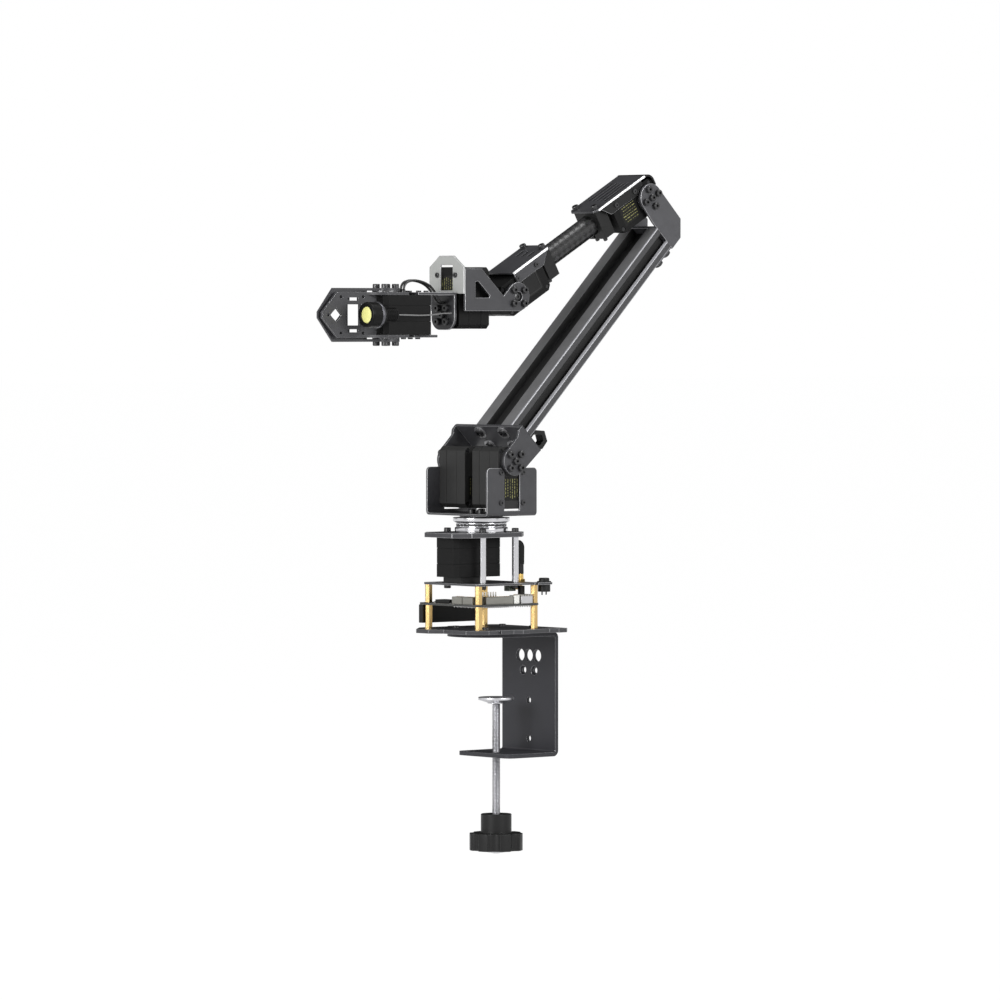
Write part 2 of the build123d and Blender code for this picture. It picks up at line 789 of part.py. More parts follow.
def forearm_rear_cover():
    """The rear cover, whose round hood covers the end of the elbow servo."""
    y = cover_side_y
    hood = block(hood_end, 0, -y, y, hood_low, cover_top)
    hood = fillet(hood.edges().filter_by(Axis.Y).group_by(Axis.X)[0].sort_by(Axis.Z)[-1], hood_round)
    inside = block(hood_end + cover_sheet, 1, -y - 1, y + 1, hood_low - 1, cover_z)
    corner = inside.edges().filter_by(Axis.Y).group_by(Axis.X)[0].sort_by(Axis.Z)[-1]
    shape = cover(0.0, cover_rear_x, cover_rear_x) + (hood - fillet(corner, hood_round - cover_sheet))
    for y in (-9.0, -4.5, 0.0, 4.5, 9.0):
        shape -= block(6.0, 34.0, y - 1.0, y + 1.0, cover_z - 1, cover_top + 1)
    return shape


def forearm_front_cover():
    """The front cover over the wrist servo, with three short slots."""
    end = forearm_length - cover_front_length
    shape = cover(forearm_length - cover_front_start, end, end)
    for y in (-6.5, 0.0, 6.5):
        x = forearm_length - 36.0
        shape -= block(x - 4.0, x + 4.0, y - 1.2, y + 1.2, cover_z - 1, cover_top + 1)
    return shape


def cover_screws(end, way):
    """The two socket screws on a cover's top and the small screws in its flanges."""
    heads = [cap_head((end - way * 4.5, y, cover_top), (0, 0, 1)) for y in (-cover_bolt_y, cover_bolt_y)]
    for x in (end - way * 20.0, end - way * 41.0):
        level = servo_width / 2 - 1.5
        heads += mirrored(small_head((x, cover_side_y, level), (0, 1, 0)))
    return heads


def tube_clamp(start):
    """The split block that holds one end of the forearm's tube."""
    end = start + tube_clamp_length
    half = tube_clamp_half
    shape = block(start, end, -half, half, tube_clamp_bottom, cover_z)
    shape -= rod(tube_radius, (start - 1, 0, tube_q), (end + 1, 0, tube_q))
    return shape - block(start - 1, end + 1, -tube_split / 2, tube_split / 2, tube_clamp_bottom - 1, tube_q)


def tube_clamp_screws(start):
    """The two studs under a tube clamp."""
    x = start + tube_clamp_length / 2
    low = tube_clamp_bottom
    return [rod(1.6, (x, y, low - 4.0), (x, y, low)) for y in (-4.5, 4.5)]


def forearm_tube():
    """The carbon tube of the forearm."""
    end = forearm_length - tube_clamp_start
    shape = rod(tube_radius, (tube_clamp_start, 0, tube_q), (end, 0, tube_q))
    return shape - rod(tube_radius - tube_wall, (0, 0, tube_q), (forearm_length, 0, tube_q))


def wrist_yoke():
    """The yoke of the wrist: a windowed side plate on each horn, reaching forward to the roll servo."""
    front = roll_servo_x + servo_thick
    outline = [
        (front, yoke_plate_top),
        (yoke_plate_back_top, yoke_plate_top),
        yoke_notch,
        (yoke_notch[0] / 2, yoke_notch[0] / 2),
        (0, 0),
        (-3.1, yoke_plate_bottom),
        (front, yoke_plate_bottom),
    ]
    window = [(41.5, 11.0), (38.6, 11.2), (27.5, 0.7), (28.4, -0.9), (41.5, -0.9)]
    ear = side(outline, ear_inner_y, arm_ear_outer_y)
    ear += side_disc(ear_round, 0, 0, ear_inner_y, arm_ear_outer_y)
    ear -= side(window, ear_inner_y - 1, arm_ear_outer_y + 1)
    return mirrored(ear - side_disc(wrist_eye_radius, 0, 0, ear_inner_y - 1, arm_ear_outer_y + 1))


def roll_servo_plate():
    """The eight-sided plate across the front of the wrist, slotted over the roll servo."""
    half = arm_ear_outer_y
    outline = [
        (half, roll_plate_bottom),
        (half, roll_plate_shoulder),
        (roll_plate_top_half, roll_plate_top),
        (-roll_plate_top_half, roll_plate_top),
        (-half, roll_plate_shoulder),
        (-half, roll_plate_bottom),
    ]
    x = roll_servo_x + servo_thick
    face = make_face(Polyline(*[(x, y, z) for y, z in outline], close=True))
    shape = extrude(face, roll_plate_sheet, dir=(1, 0, 0))
    slot = (-roll_slot_half, roll_slot_half, roll_slot_z[0], roll_slot_z[1])
    return shape - block(x - 1, x + roll_plate_sheet + 1, *slot)


def roll_servo():
    """The servo that rolls the gripper: shaft forward, case standing up behind the plate."""
    x = roll_servo_x + servo_half
    return Pos(x, 0, -roll_drop) * Rot(0, -90, 0) * servo_case()


def roll_plate_screws():
    """The two screws beside the slot of the plate."""
    x = roll_servo_x + servo_thick + roll_plate_sheet
    return [small_head((x, y, roll_screw_z), (1, 0, 0)) for y in (-roll_screw_y, roll_screw_y)]


def roll_horn():
    """The output disc of the roll servo, just in front of its case."""
    return rod(horn_radius, (run_gap - horn_thick, 0, 0), (0, 0, 0))


def gripper_frame():
    """The bent frame from the roll horn to the gripper servo, and the strip under the servo."""
    half, sheet = servo_half, frame_sheet
    shape = block(0, sheet, -frame_half_y, frame_half_y, frame_low, half + sheet)
    shape = fillet(shape.edges().filter_by(Axis.X).group_by(Axis.Z)[0], frame_round)
    shape += block(0, frame_end_x, -frame_half_y, frame_half_y, half, half + sheet)
    shape -= block(
        frame_window[0], frame_window[1], -frame_window_half, frame_window_half, half - 1, half + sheet + 1
    )
    strip = block(frame_strip_x, frame_end_x, -frame_strip_half, frame_strip_half, -half - sheet, -half)
    return [shape, strip]


def gripper_frame_screws():
    """The bolts on the roll horn and the small screws that hold the gripper servo."""
    spots = circle_of(4, horn_bolt_circle) + [(0.0, 0.0)]
    heads = [cap_head((frame_sheet, y, z), (1, 0, 0)) for y, z in spots]
    level = servo_half + frame_sheet
    small = [(x, y) for x in frame_screw_x for y in (-frame_screw_y, frame_screw_y)]
    heads += [small_head((x, y, level), (0, 0, 1)) for x, y in small]
    heads += [small_head((x, 0, -level), (0, 0, -1)) for x in frame_screw_x]
    return heads


def gripper_servo():
    """The gripper's servo, shaft upright, with the socket of its leads on top."""
    case = Pos(grip_axis_x, 0, 0) * Rot(0, 0, 180) * servo_case()
    x0, x1 = lead_socket_x
    return case + block(x0, x1, -4.5, 4.5, servo_half, servo_half + lead_socket_height)


def jaw_outline(half, start):
    """The pointed outline that both jaws share."""
    return [
        (start, -half),
        (jaw_taper_x, -half),
        (jaw_tip_x, -jaw_tip_half),
        (jaw_tip_x, jaw_tip_half),
        (jaw_taper_x, half),
        (start, half),
    ]


def jaw_web(half, start, y, opening, diamond_at):
    """One jaw's upright plate with its window, diamond, slots and pin holes."""
    x0, x1 = opening
    shape = side(jaw_outline(half, start), y, y + jaw_sheet)
    window = side(
        [(x0, -jaw_window_half), (x1, -jaw_window_half), (x1, jaw_window_half), (x0, jaw_window_half)],
        y - 1,
        y + jaw_sheet + 1,
    )
    x, wide = diamond_at
    high = jaw_diamond_half
    diamond = side([(x - wide, 0), (x, -high), (x + wide, 0), (x, high)], y - 1, y + jaw_sheet + 1)
    shape = shape - window - diamond
    length, width = jaw_slot
    middle = (x0 + x1) / 2
    for z in (-jaw_slot_z, jaw_slot_z):
        shape -= block(middle - length / 2, middle + length / 2, y - 1, y + 5, z - width / 2, z + width / 2)
    for x, z in jaw_holes:
        for level in (-z, z):
            shape -= side_disc(jaw_hole_radius, x, level, y - 1, y + jaw_sheet + 1)
    return shape - side_disc(jaw_pin_hole, jaw_pin_x, 0, y - 1, y + jaw_sheet + 1)


def fixed_jaw():
    """The jaw that stays with the servo case: a ring round each horn, a web and the lamp's tab."""
    low, high = servo_half, servo_half + frame_sheet
    shape = jaw_web(fixed_jaw_half, fixed_web_x, fixed_web_y, fixed_window, fixed_diamond)
    ring_plate = rod(grip_ring_radius, (grip_axis_x, 0, low), (grip_axis_x, 0, high))
    ring_plate += block(grip_ring_back, grip_axis_x, -frame_half_y, frame_half_y, low, high)
    ring_plate &= block(grip_ring_back, jaw_tip_x, -frame_half_y, frame_half_y, low, high)
    strip = [
        (grip_axis_x, fixed_web_y),
        (fixed_web_x + 10, fixed_web_y),
        (fixed_web_x + 10, fixed_web_y + jaw_sheet),
        (grip_axis_x + 7, frame_half_y),
        (grip_axis_x, frame_half_y),
    ]
    ring_plate += flat(strip, low, high)
    ring_plate -= rod(horn_radius + 0.8, (grip_axis_x, 0, low - 1), (grip_axis_x, 0, high + 1))
    shape += ring_plate
    shape += mirror(ring_plate, about=Plane.XY)
    tab = block(lamp_tab_x, lamp_tab_x + jaw_sheet, fixed_web_y, lamp_y, -lamp_tab_half, lamp_tab_half)
    tab += rod(lamp_tab_half, (lamp_tab_x, lamp_y, 0), (lamp_tab_x + jaw_sheet, lamp_y, 0))
    shape += tab
    return shape - rod(lamp_stem_radius, (lamp_tab_x - 1, lamp_y, 0), (lamp_tab_x + 5, lamp_y, 0))


def fixed_jaw_screws():
    """The small screws that hold the fixed jaw's rings on the servo case."""
    level = servo_half + frame_sheet
    spots = [(grip_ring_back + 2.6, -9.8), (grip_ring_back + 2.6, 9.8), (grip_axis_x + 8.8, 9.8)]
    return [small_head((x, y, n * level), (0, 0, n)) for x, y in spots for n in (-1, 1)]


def moving_jaw():
    """The jaw on the servo's horns: an ear above and below, and the far web."""
    low, high = moving_jaw_half - jaw_sheet, moving_jaw_half
    shape = jaw_web(moving_jaw_half, moving_web_x, moving_web_y, moving_window, moving_diamond)
    arm = [
        (grip_axis_x - 1, -jaw_round),
        (moving_web_x, moving_web_y),
        (moving_web_x + 14, moving_web_y),
        (moving_web_x + 14, moving_web_y + jaw_sheet),
        (moving_web_x - 3, moving_web_y + jaw_sheet + 1.5),
        (grip_axis_x + 3, jaw_round - 0.5),
    ]
    ear = flat(arm, low, high) + rod(jaw_round, (grip_axis_x, 0, low), (grip_axis_x, 0, high))
    shape += ear
    return shape + mirror(ear, about=Plane.XY)


def gripper_horns():
    """The output discs above and below the gripper servo."""
    low, high = servo_half + run_gap, moving_jaw_half - jaw_sheet
    disc = rod(horn_radius, (grip_axis_x, 0, low), (grip_axis_x, 0, high))
    return [disc, mirror(disc, about=Plane.XY)]


def moving_jaw_screws():
    """The socket screws of the moving jaw's ears."""
    spots = circle_of(4, horn_bolt_circle) + [(0.0, 0.0)]
    return [cap_head((grip_axis_x + x, y, n * moving_jaw_half), (0, 0, n)) for x, y in spots for n in (-1, 1)]


def lamp_housing():
    """The lamp's head, open in front, on a stem through the fixed jaw's tab, and its nut."""
    front = lamp_tab_x + jaw_sheet
    barrel = rod(lamp_head_radius, (front, lamp_y, 0), (front + lamp_head_length, lamp_y, 0))
    barrel = chamfer(barrel.edges().filter_by(GeomType.CIRCLE), 0.8)
    depth = front + lamp_head_length - lamp_lens_depth
    barrel -= rod(lamp_lens_radius, (depth, lamp_y, 0), (depth + 5, lamp_y, 0))
    stem = rod(lamp_stem_radius, (lamp_tab_x - lamp_stem_length, lamp_y, 0), (front, lamp_y, 0))
    nut = head((lamp_tab_x, lamp_y, 0), (-1, 0, 0), lamp_nut_radius, lamp_nut_thick)
    return barrel + stem + nut


def lamp_lens():
    """The yellow lens of the lamp."""
    end = lamp_tab_x + jaw_sheet + lamp_head_length
    return rod(lamp_lens_radius, (end - lamp_lens_depth, lamp_y, 0), (end - 0.3, lamp_y, 0))


def clamp_pad():
    """The round pad that the clamp screw pushes up, with a socket below for its tip."""
    low = pad_top_z - pad_height
    outline = [
        (0, pad_top_z),
        (pad_radius, pad_top_z),
        (pad_radius, pad_top_z - pad_rim),
        (pad_hub_radius, low + 0.6),
        (pad_hub_radius, low),
        (screw_radius + shaft_gap, low),
        (screw_radius + shaft_gap, low + pad_socket),
        (0, low + pad_socket),
    ]
    face = make_face(Polyline(*[(x, 0, z) for x, z in outline], close=True))
    return Pos(screw_x, 0, 0) * revolve(face, Axis.Z)


def clamp_screw():
    """The long clamp screw, from its tip in the pad to the dome under the knob."""
    tip = pad_top_z - pad_height + pad_socket - run_gap
    low = knob_top_z - knob_hub_height - knob_star_height
    shape = rod(screw_radius, (screw_x, 0, low), (screw_x, 0, tip))
    dome = rod(dome_radius, (screw_x, 0, low - dome_height), (screw_x, 0, low))
    return shape + chamfer(dome.edges().group_by(Axis.Z)[0], dome_height * 0.8)


def clamp_knob():
    """The black knob: a round hub and a star-shaped grip."""
    star_z = knob_top_z - knob_hub_height
    low = star_z - knob_star_height
    hub = rod(knob_hub_radius, (0, 0, star_z), (0, 0, knob_top_z))
    star = rod(knob_star_radius, (0, 0, low), (0, 0, star_z))
    for x, y in circle_of(knob_lobes, 2 * (knob_star_radius + 3.4)):
        star -= rod(knob_hollow_radius, (x, y, low - 1), (x, y, star_z + 1))
    shape = hub + star - rod(screw_radius, (0, 0, low - 1), (0, 0, knob_top_z + 1))
    return Pos(screw_x, 0, 0) * shape


def lead(points, radius):
    """A lead along straight runs joined by arcs, and the arcs' radii."""
    points = [Vector(*point) for point in points]
    radii = []
    for before, at, after in zip(points, points[1:], points[2:]):
        turn = (at - before).get_angle(after - at)
        shorter = min((at - before).length, (after - at).length)
        radii.append(0.45 * shorter / tan(radians(turn / 2)))
    path = FilletPolyline(*points, radius=radii)
    section = Plane(origin=path @ 0, z_dir=path % 0) * RegularPolygon(radius, lead_flats)
    tube = sweep(section, path=path)
    print("lead radii", [round(radius, 1) for radius in radii], "length", round(path.length, 1))
    print("volume ratio", round(tube.volume / (path.length * section.area), 4))
    return tube


def servo_leads():
    """The two strands that loop back from the gripper servo's socket to the roll horn."""
    top = servo_half + lead_socket_height
    middle = sum(lead_socket_x) / 2
    tubes = []
    for n in (-1, 1):
        y = n * lead_spacing / 2
        route = [
            (middle, y, top),
            (middle, y, top + 4.2),
            (34.5, y, top + 7.6),
            (24.5, y * 1.1, top + 7.0),
            (15.5, y * 1.2, top + 3.6),
            (9.6, y * 1.1, top - 3.2),
            (6.4, y, top - 8.8),
            (frame_sheet, y, top - 8.8),
        ]
        tubes.append(lead(route, lead_radius))
    return tubes


def lamp_lead():
    """The thin lead from the lamp's stem back to the frame."""
    route = [
        (lamp_tab_x - lamp_stem_length, lamp_y, 0),
        (56.0, lamp_y, 0),
        (43.0, 20.0, -0.4),
        (30.0, 16.6, -0.2),
        (19.0, 13.4, 0.4),
        (11.0, 10.6, 1.1),
        (7.0, 9.8, 1.2),
        (frame_sheet, 9.8, 1.2),
    ]
    return lead(route, lamp_lead_radius)


def main():
    """Write every node, link by link."""
    os.makedirs("parts", exist_ok=True)
    shoulder = Pos(0, 0, shoulder_height)
    arm = shoulder * Rot(0, -beam_lean, 0)
    fore = arm * Pos(elbow_out, 0, elbow_up) * Rot(0, beam_lean + forearm_dip, 0)
    wrist = fore * Pos(forearm_length, 0, 0) * Rot(0, -forearm_dip, 0)
    grip = wrist * Pos(roll_servo_x + servo_thick + horn_thick, 0, -roll_drop)

    save("clamp_bracket", clamp_bracket())
    save("base_plate", base_plate())
    lower = standoffs(plate_z, lower_standoff_length)
    save("standoffs", lower + standoffs(board_top, upper_standoff_length))
    save("control_board", board_blank(*board_y, board_z, board_thick))
    save("board_connectors", board_connectors() + board_chips())
    save("pin_header", pin_header())
    save("deck_plate", deck_plate())
    save("power_button_body", power_button_body())
    save("antenna_connector", antenna_connector())
    save("antenna", antenna())
    save("motor_posts", motor_posts())
    save("stack_screws", stack_screws() + clamp_bracket_screws())
    save("motor_plate", motor_plate())
    save("base_servo", Pos(0, 0, motor_z - servo_half) * servo_case())
    save("servo_foot", servo_foot())
    save("bearing_lower_washer", bearing_lower_washer())
    save("bearing_cage", bearing_cage())
    save("clamp_pad", clamp_pad())
    save("clamp_screw", clamp_screw())
    save("clamp_knob", clamp_knob())
    save("power_button", power_button())

    save("bearing_upper_washer", bearing_upper_washer())
    save("yaw_hub", yaw_hub())
    save("shoulder_bracket", shoulder_bracket())
    save("shoulder_bracket_screws", shoulder_bracket_screws())
    upright = Rot(0, 90, 0) * Rot(90, 0, 0) * servo_case()
    middle = servo_outer_y - servo_half
    save("shoulder_servo_left", Pos(0, middle, shoulder_height) * upright)
    save("shoulder_servo_right", Pos(0, -middle, shoulder_height) * upright)

    ear_y = servo_outer_y + horn_thick
    save("shoulder_horns", horns(0, 0, servo_outer_y, ear_y), arm)
    save("shoulder_yoke", shoulder_yoke(), arm)
    heads = horn_screws(0, 0, ear_y + yoke_sheet, 45.0 + beam_lean)
    heads += middle_screws(0, 0, ear_y + yoke_sheet) + middle_screws(elbow_out, elbow_up, arm_ear_outer_y)
    elbow_turn = 90.0 - beam_lean - forearm_dip
    save("arm_ear_screws", heads + horn_screws(elbow_out, elbow_up, arm_ear_outer_y, elbow_turn), arm)
    save("beam_bolts", yoke_bolts() + elbow_bracket_screws(), arm)
    save("arm_beam", arm_beam(), arm)
    save("beam_clip", beam_clip(), arm)
    save("elbow_bracket", elbow_bracket(), arm)
    save("elbow_horns", horns(elbow_out, elbow_up, servo_half, ear_inner_y), arm)

    save("elbow_servo", servo_across(0, 0, 0), fore)
    save("forearm_rear_cover", forearm_rear_cover(), fore)
    save("rear_tube_clamp", tube_clamp(tube_clamp_start), fore)
    front_clamp = forearm_length - tube_clamp_start - tube_clamp_length
    save("front_tube_clamp", tube_clamp(front_clamp), fore)
    save("forearm_tube", forearm_tube(), fore)
    save("forearm_front_cover", forearm_front_cover(), fore)
    heads = cover_screws(cover_rear_x, 1) + cover_screws(forearm_length - cover_front_length, -1)
    studs = tube_clamp_screws(tube_clamp_start) + tube_clamp_screws(front_clamp)
    save("forearm_screws", heads + studs, fore)
    save("wrist_servo", servo_across(forearm_length, 0, 180), fore)

    save("wrist_horns", horns(0, 0, servo_half, ear_inner_y), wrist)
    eyes = mirrored(head((0, ear_inner_y, 0), (0, 1, 0), m3_head_radius, m2_head_height))
    save("wrist_screws", horn_screws(0, 0, arm_ear_outer_y) + eyes + roll_plate_screws(), wrist)
    save("wrist_yoke", wrist_yoke(), wrist)
    save("roll_servo_plate", roll_servo_plate(), wrist)
    save("roll_servo", roll_servo(), wrist)

    save("roll_horn", roll_horn(), grip)
    save("gripper_frame", gripper_frame(), grip)
    save("gripper_servo", gripper_servo(), grip)
    save("fixed_jaw", fixed_jaw(), grip)
    save("gripper_screws", gripper_frame_screws() + fixed_jaw_screws(), grip)
    save("lamp_housing", lamp_housing(), grip)
    save("lamp_lens", lamp_lens(), grip)
    save("servo_leads", servo_leads(), grip)
    save("lamp_lead", lamp_lead(), grip)
    save("moving_jaw", moving_jaw(), grip)
    save("gripper_horns", gripper_horns(), grip)
    save("moving_jaw_screws", moving_jaw_screws(), grip)


main()
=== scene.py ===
# %% [markdown]
# # A desktop robot arm on a table clamp
# This lesson dresses a finished CAD model of a small robot arm: black sheet metal, plastic servo motors, a
# carbon tube, brass pillars and a zinc clamp screw. The CAD gives every size and every joint, and Blender
# adds what a CAD program leaves out: finishes, rounded edges, threads, sockets, seams, pins and cables.
#
# We start by loading the CAD model as a fixed frame. It is in metres, and nothing in it is moved. Before we
# add anything we keep the size of the whole object, to print it beside the dressed model's size at the end.

import json
import math
import random

import bmesh
import bpy
from mathutils import Matrix, Vector
from mathutils.bvhtree import BVHTree


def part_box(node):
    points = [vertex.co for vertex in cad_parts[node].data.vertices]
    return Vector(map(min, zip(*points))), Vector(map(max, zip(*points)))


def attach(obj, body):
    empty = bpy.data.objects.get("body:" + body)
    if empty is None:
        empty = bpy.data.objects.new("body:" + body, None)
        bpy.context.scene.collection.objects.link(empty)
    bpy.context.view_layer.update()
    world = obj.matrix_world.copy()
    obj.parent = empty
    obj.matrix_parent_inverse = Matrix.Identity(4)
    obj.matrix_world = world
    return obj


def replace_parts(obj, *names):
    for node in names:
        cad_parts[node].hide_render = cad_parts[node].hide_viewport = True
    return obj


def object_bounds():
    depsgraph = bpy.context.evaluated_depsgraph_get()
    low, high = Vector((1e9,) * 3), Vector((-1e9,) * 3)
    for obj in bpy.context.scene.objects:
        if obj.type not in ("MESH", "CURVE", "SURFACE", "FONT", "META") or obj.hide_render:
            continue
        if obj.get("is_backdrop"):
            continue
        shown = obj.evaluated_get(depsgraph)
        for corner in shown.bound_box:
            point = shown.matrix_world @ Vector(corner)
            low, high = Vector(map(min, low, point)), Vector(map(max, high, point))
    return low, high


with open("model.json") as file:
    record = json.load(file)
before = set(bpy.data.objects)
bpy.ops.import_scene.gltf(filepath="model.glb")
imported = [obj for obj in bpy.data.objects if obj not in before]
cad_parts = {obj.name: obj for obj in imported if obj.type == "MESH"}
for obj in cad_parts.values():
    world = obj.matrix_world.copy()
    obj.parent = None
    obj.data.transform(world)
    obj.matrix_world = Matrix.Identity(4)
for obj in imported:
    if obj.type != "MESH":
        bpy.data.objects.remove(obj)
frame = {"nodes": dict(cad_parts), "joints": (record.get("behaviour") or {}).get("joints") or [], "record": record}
cad_low, cad_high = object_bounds()
MM = 0.001
nodes = frame["nodes"]
body_of_node = {node: body for body, names in frame["record"]["behaviour"]["bodies"].items() for node in names}
slot_of_node = {part["node"]: part["material_slot"] for part in frame["record"]["subparts"]}


def box_of(node):
    """The lowest and the highest corner of a CAD node."""
    return [Vector(corner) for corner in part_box(node)]


def turns_of(count, shift=0.0):
    """Evenly spaced angles round a full circle."""
    return [2 * math.pi * (n + shift) / count for n in range(count)]


# %% [markdown]
# ## The camera
# Product pictures of tall objects are taken from far away with a long lens, so that upright edges stay
# upright. Here the camera stands nearly five metres off, level with the arm's wrist, and looks along the
# arm from its front left. A long lens and a slight downward tilt frame the arm without any lens shift, so
# other views can reuse the same camera.

# %% Place the camera
camera_side = Vector((0.6508, 0.7593, 0.0))
camera_right = Vector((-0.7593, 0.6508, 0.0))
camera_distance = 4.840
camera_height = 0.2363
look_height = 0.1003
camera_offset = 0.01375
sensor_width = 36.0
pixels_of_focal = 6582.4
image_width = 1000

camera = bpy.data.objects.new("camera", bpy.data.cameras.new("camera"))
bpy.context.scene.collection.objects.link(camera)
camera.location = camera_side * camera_distance + camera_right * camera_offset + Vector((0, 0, camera_height))
look_at = camera_right * camera_offset + Vector((0, 0, look_height))
camera.rotation_euler = (look_at - camera.location).to_track_quat("-Z", "Y").to_euler()
camera.data.sensor_width = sensor_width
camera.data.lens = pixels_of_focal / image_width * sensor_width
camera.data.clip_end = 100.0
bpy.context.scene.camera = camera
print("lens", round(camera.data.lens, 1), "mm at", [round(v, 3) for v in camera.location])

# %% [markdown]
# ## The leads
# Two black leads rise from the socket of the gripper's motor, loop back and end behind the roll disc, and a
# thin lead runs from the lamp along the motor's side. A lead is a fixed length of something flexible, so
# each one is a single smooth NURBS curve through a few points, straight out of its socket first. The order
# of the spline is set after its points are added, because set before it would fall back to straight runs.
# The thickness is given as the radius of each point, with a bevel of one: Blender adds the points' radius
# to the box round a curve, and left at one metre it would make that box two metres wide.

# %% Lay the leads
grip_origin = Vector((34.9587, 0.0, 236.4083))
lead_thickness = 1.8 * MM
wire_thickness = 1.1 * MM
lead_side_step = 1.7
loop_route = [
    (40.6, 1.0, 17.7), (40.6, 1.0, 21.9), (34.5, 1.0, 25.3), (24.5, 1.1, 24.7),
    (15.5, 1.2, 21.3), (9.6, 1.1, 14.5), (6.4, 1.0, 8.9), (2.0, 1.0, 8.9),
]
lamp_route = [
    (65.6, 22.0, 0.0), (56.0, 22.0, 0.0), (43.0, 20.0, -0.4), (30.0, 16.6, -0.2),
    (19.0, 13.4, 0.4), (11.0, 10.6, 1.1), (7.0, 9.8, 1.2), (2.0, 9.8, 1.2),
]


def lay_lead(name, route, node, thickness):
    """A lead through the points of a route, which are in millimetres from the roll disc."""
    data = bpy.data.curves.new(name, "CURVE")
    data.dimensions = "3D"
    data.bevel_depth = 1.0
    data.bevel_resolution = 5
    data.resolution_u = 16
    data.use_fill_caps = True
    spline = data.splines.new("NURBS")
    spline.points.add(len(route) - 1)
    for point, place in zip(spline.points, route):
        point.co = (*((grip_origin + Vector(place)) * MM), 1.0)
        point.radius = thickness / 2
    spline.order_u = 3
    spline.use_endpoint_u = True
    piece = bpy.data.objects.new(name, data)
    bpy.context.scene.collection.objects.link(piece)
    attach(piece, "gripper")
    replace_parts(piece, node)
    return piece


leads = []
for label, way in (("left", 1), ("right", -1)):
    route = [(x, way * share * lead_side_step, z) for x, share, z in loop_route]
    leads.append(lay_lead(f"servo_lead_{label}", route, "servo_leads", lead_thickness))
leads.append(lay_lead("lamp_wire", lamp_route, "lamp_lead", wire_thickness))
print(len(leads), "leads laid")

# %% [markdown]
# ## Floor and light
# The arm is black on white, so its shape is read from reflections: long pale streaks on edges and a soft
# glow on faces that look up. A pale floor and a bright surround give those reflections. Three large soft
# lamps light the arm at a plain level. The surround is dim for diffuse light, so colours render about as
# they are written, and white where the camera sees it. Reflections see panels in it: dark far behind the
# arm and bright round its sides. The floor lies as far down as the clamp's knob can be turned, because the
# arm hangs on a table's edge.

# %% Floor, surround and lamps
floor_drop = 0.036
floor_size = 60.0
floor_grey, floor_glow, glow_share = 0.86, 1.02, 0.97
surround_level = 0.30
studio_panels = ((0.0, 0.03), (0.24, 0.06), (0.33, 0.95), (0.60, 1.0), (0.68, 0.30), (0.76, 0.9), (1.0, 0.8))


def plug(tree, node, values):
    """Sets inputs of a node. A value is a number, a colour, or the output of another node."""
    for title, value in values.items():
        if isinstance(value, bpy.types.NodeSocket):
            tree.links.new(value, node.inputs[title])
        else:
            node.inputs[title].default_value = value


def step(tree, kind, values=None, **settings):
    """A new node of a material, of the world or of a Geometry Nodes tree."""
    node = tree.nodes.new(kind)
    for key, value in settings.items():
        setattr(node, key, value)
    plug(tree, node, values or {})
    return node


def camera_or_glossy(tree):
    """One where a camera, glossy or transmission ray looks, and nothing else."""
    path = step(tree, "ShaderNodeLightPath")
    either = step(tree, "ShaderNodeMath", {0: path.outputs["Is Camera Ray"], 1: path.outputs["Is Glossy Ray"]},
                  operation="MAXIMUM")
    every = step(tree, "ShaderNodeMath", {0: either.outputs[0], 1: path.outputs["Is Transmission Ray"]},
                 operation="MAXIMUM")
    return every.outputs[0]


world = bpy.data.worlds.new("studio")
bpy.context.scene.world = world
world.use_nodes = True
tree = world.node_tree
tree.nodes.clear()
way = step(tree, "ShaderNodeTexCoord")
toward = step(tree, "ShaderNodeVectorMath", {0: way.outputs["Generated"], 1: camera_side},
              operation="DOT_PRODUCT")
spread_out = step(tree, "ShaderNodeMapRange", {"Value": toward.outputs["Value"], "From Min": -1.0})
panels = step(tree, "ShaderNodeValToRGB", {"Fac": spread_out.outputs[0]})
panels.color_ramp.elements[0].color = (*[studio_panels[0][1]] * 3, 1.0)
panels.color_ramp.elements[1].color = (*[studio_panels[-1][1]] * 3, 1.0)
for place, level in studio_panels[1:-1]:
    panels.color_ramp.elements.new(place).color = (level, level, level, 1.0)
path = step(tree, "ShaderNodeLightPath")
seen = step(tree, "ShaderNodeMix", {"Factor": path.outputs["Is Camera Ray"], "A": panels.outputs["Color"],
                                    "B": (1.0, 1.0, 1.0, 1.0)}, data_type="RGBA")
dim = step(tree, "ShaderNodeBackground", {"Color": (0.97, 0.98, 1.0, 1.0), "Strength": surround_level})
bright = step(tree, "ShaderNodeBackground", {"Color": seen.outputs["Result"], "Strength": 1.0})
mix = step(tree, "ShaderNodeMixShader", {0: camera_or_glossy(tree), 1: dim.outputs[0], 2: bright.outputs[0]})
step(tree, "ShaderNodeOutputWorld", {0: mix.outputs[0]})

floor_mesh = bpy.data.meshes.new("floor")
half = floor_size / 2
level = cad_low[2] - floor_drop
floor_mesh.from_pydata([(-half, -half, level), (half, -half, level), (half, half, level), (-half, half, level)],
                       [], [(0, 1, 2, 3)])
floor = bpy.data.objects.new("floor", floor_mesh)
bpy.context.scene.collection.objects.link(floor)
paint = bpy.data.materials.new("floor_paint")
paint.use_nodes = True
tree = paint.node_tree
tree.nodes.clear()
matt = step(tree, "ShaderNodeBsdfDiffuse", {"Color": (*[floor_grey] * 3, 1.0)})
glow = step(tree, "ShaderNodeEmission", {"Color": (1.0, 1.0, 1.0, 1.0), "Strength": floor_glow})
share = step(tree, "ShaderNodeMath", {0: camera_or_glossy(tree), 1: glow_share}, operation="MULTIPLY")
mix = step(tree, "ShaderNodeMixShader", {0: share.outputs[0], 1: matt.outputs[0], 2: glow.outputs[0]})
step(tree, "ShaderNodeOutputMaterial", {0: mix.outputs[0]})
floor_mesh.materials.append(paint)
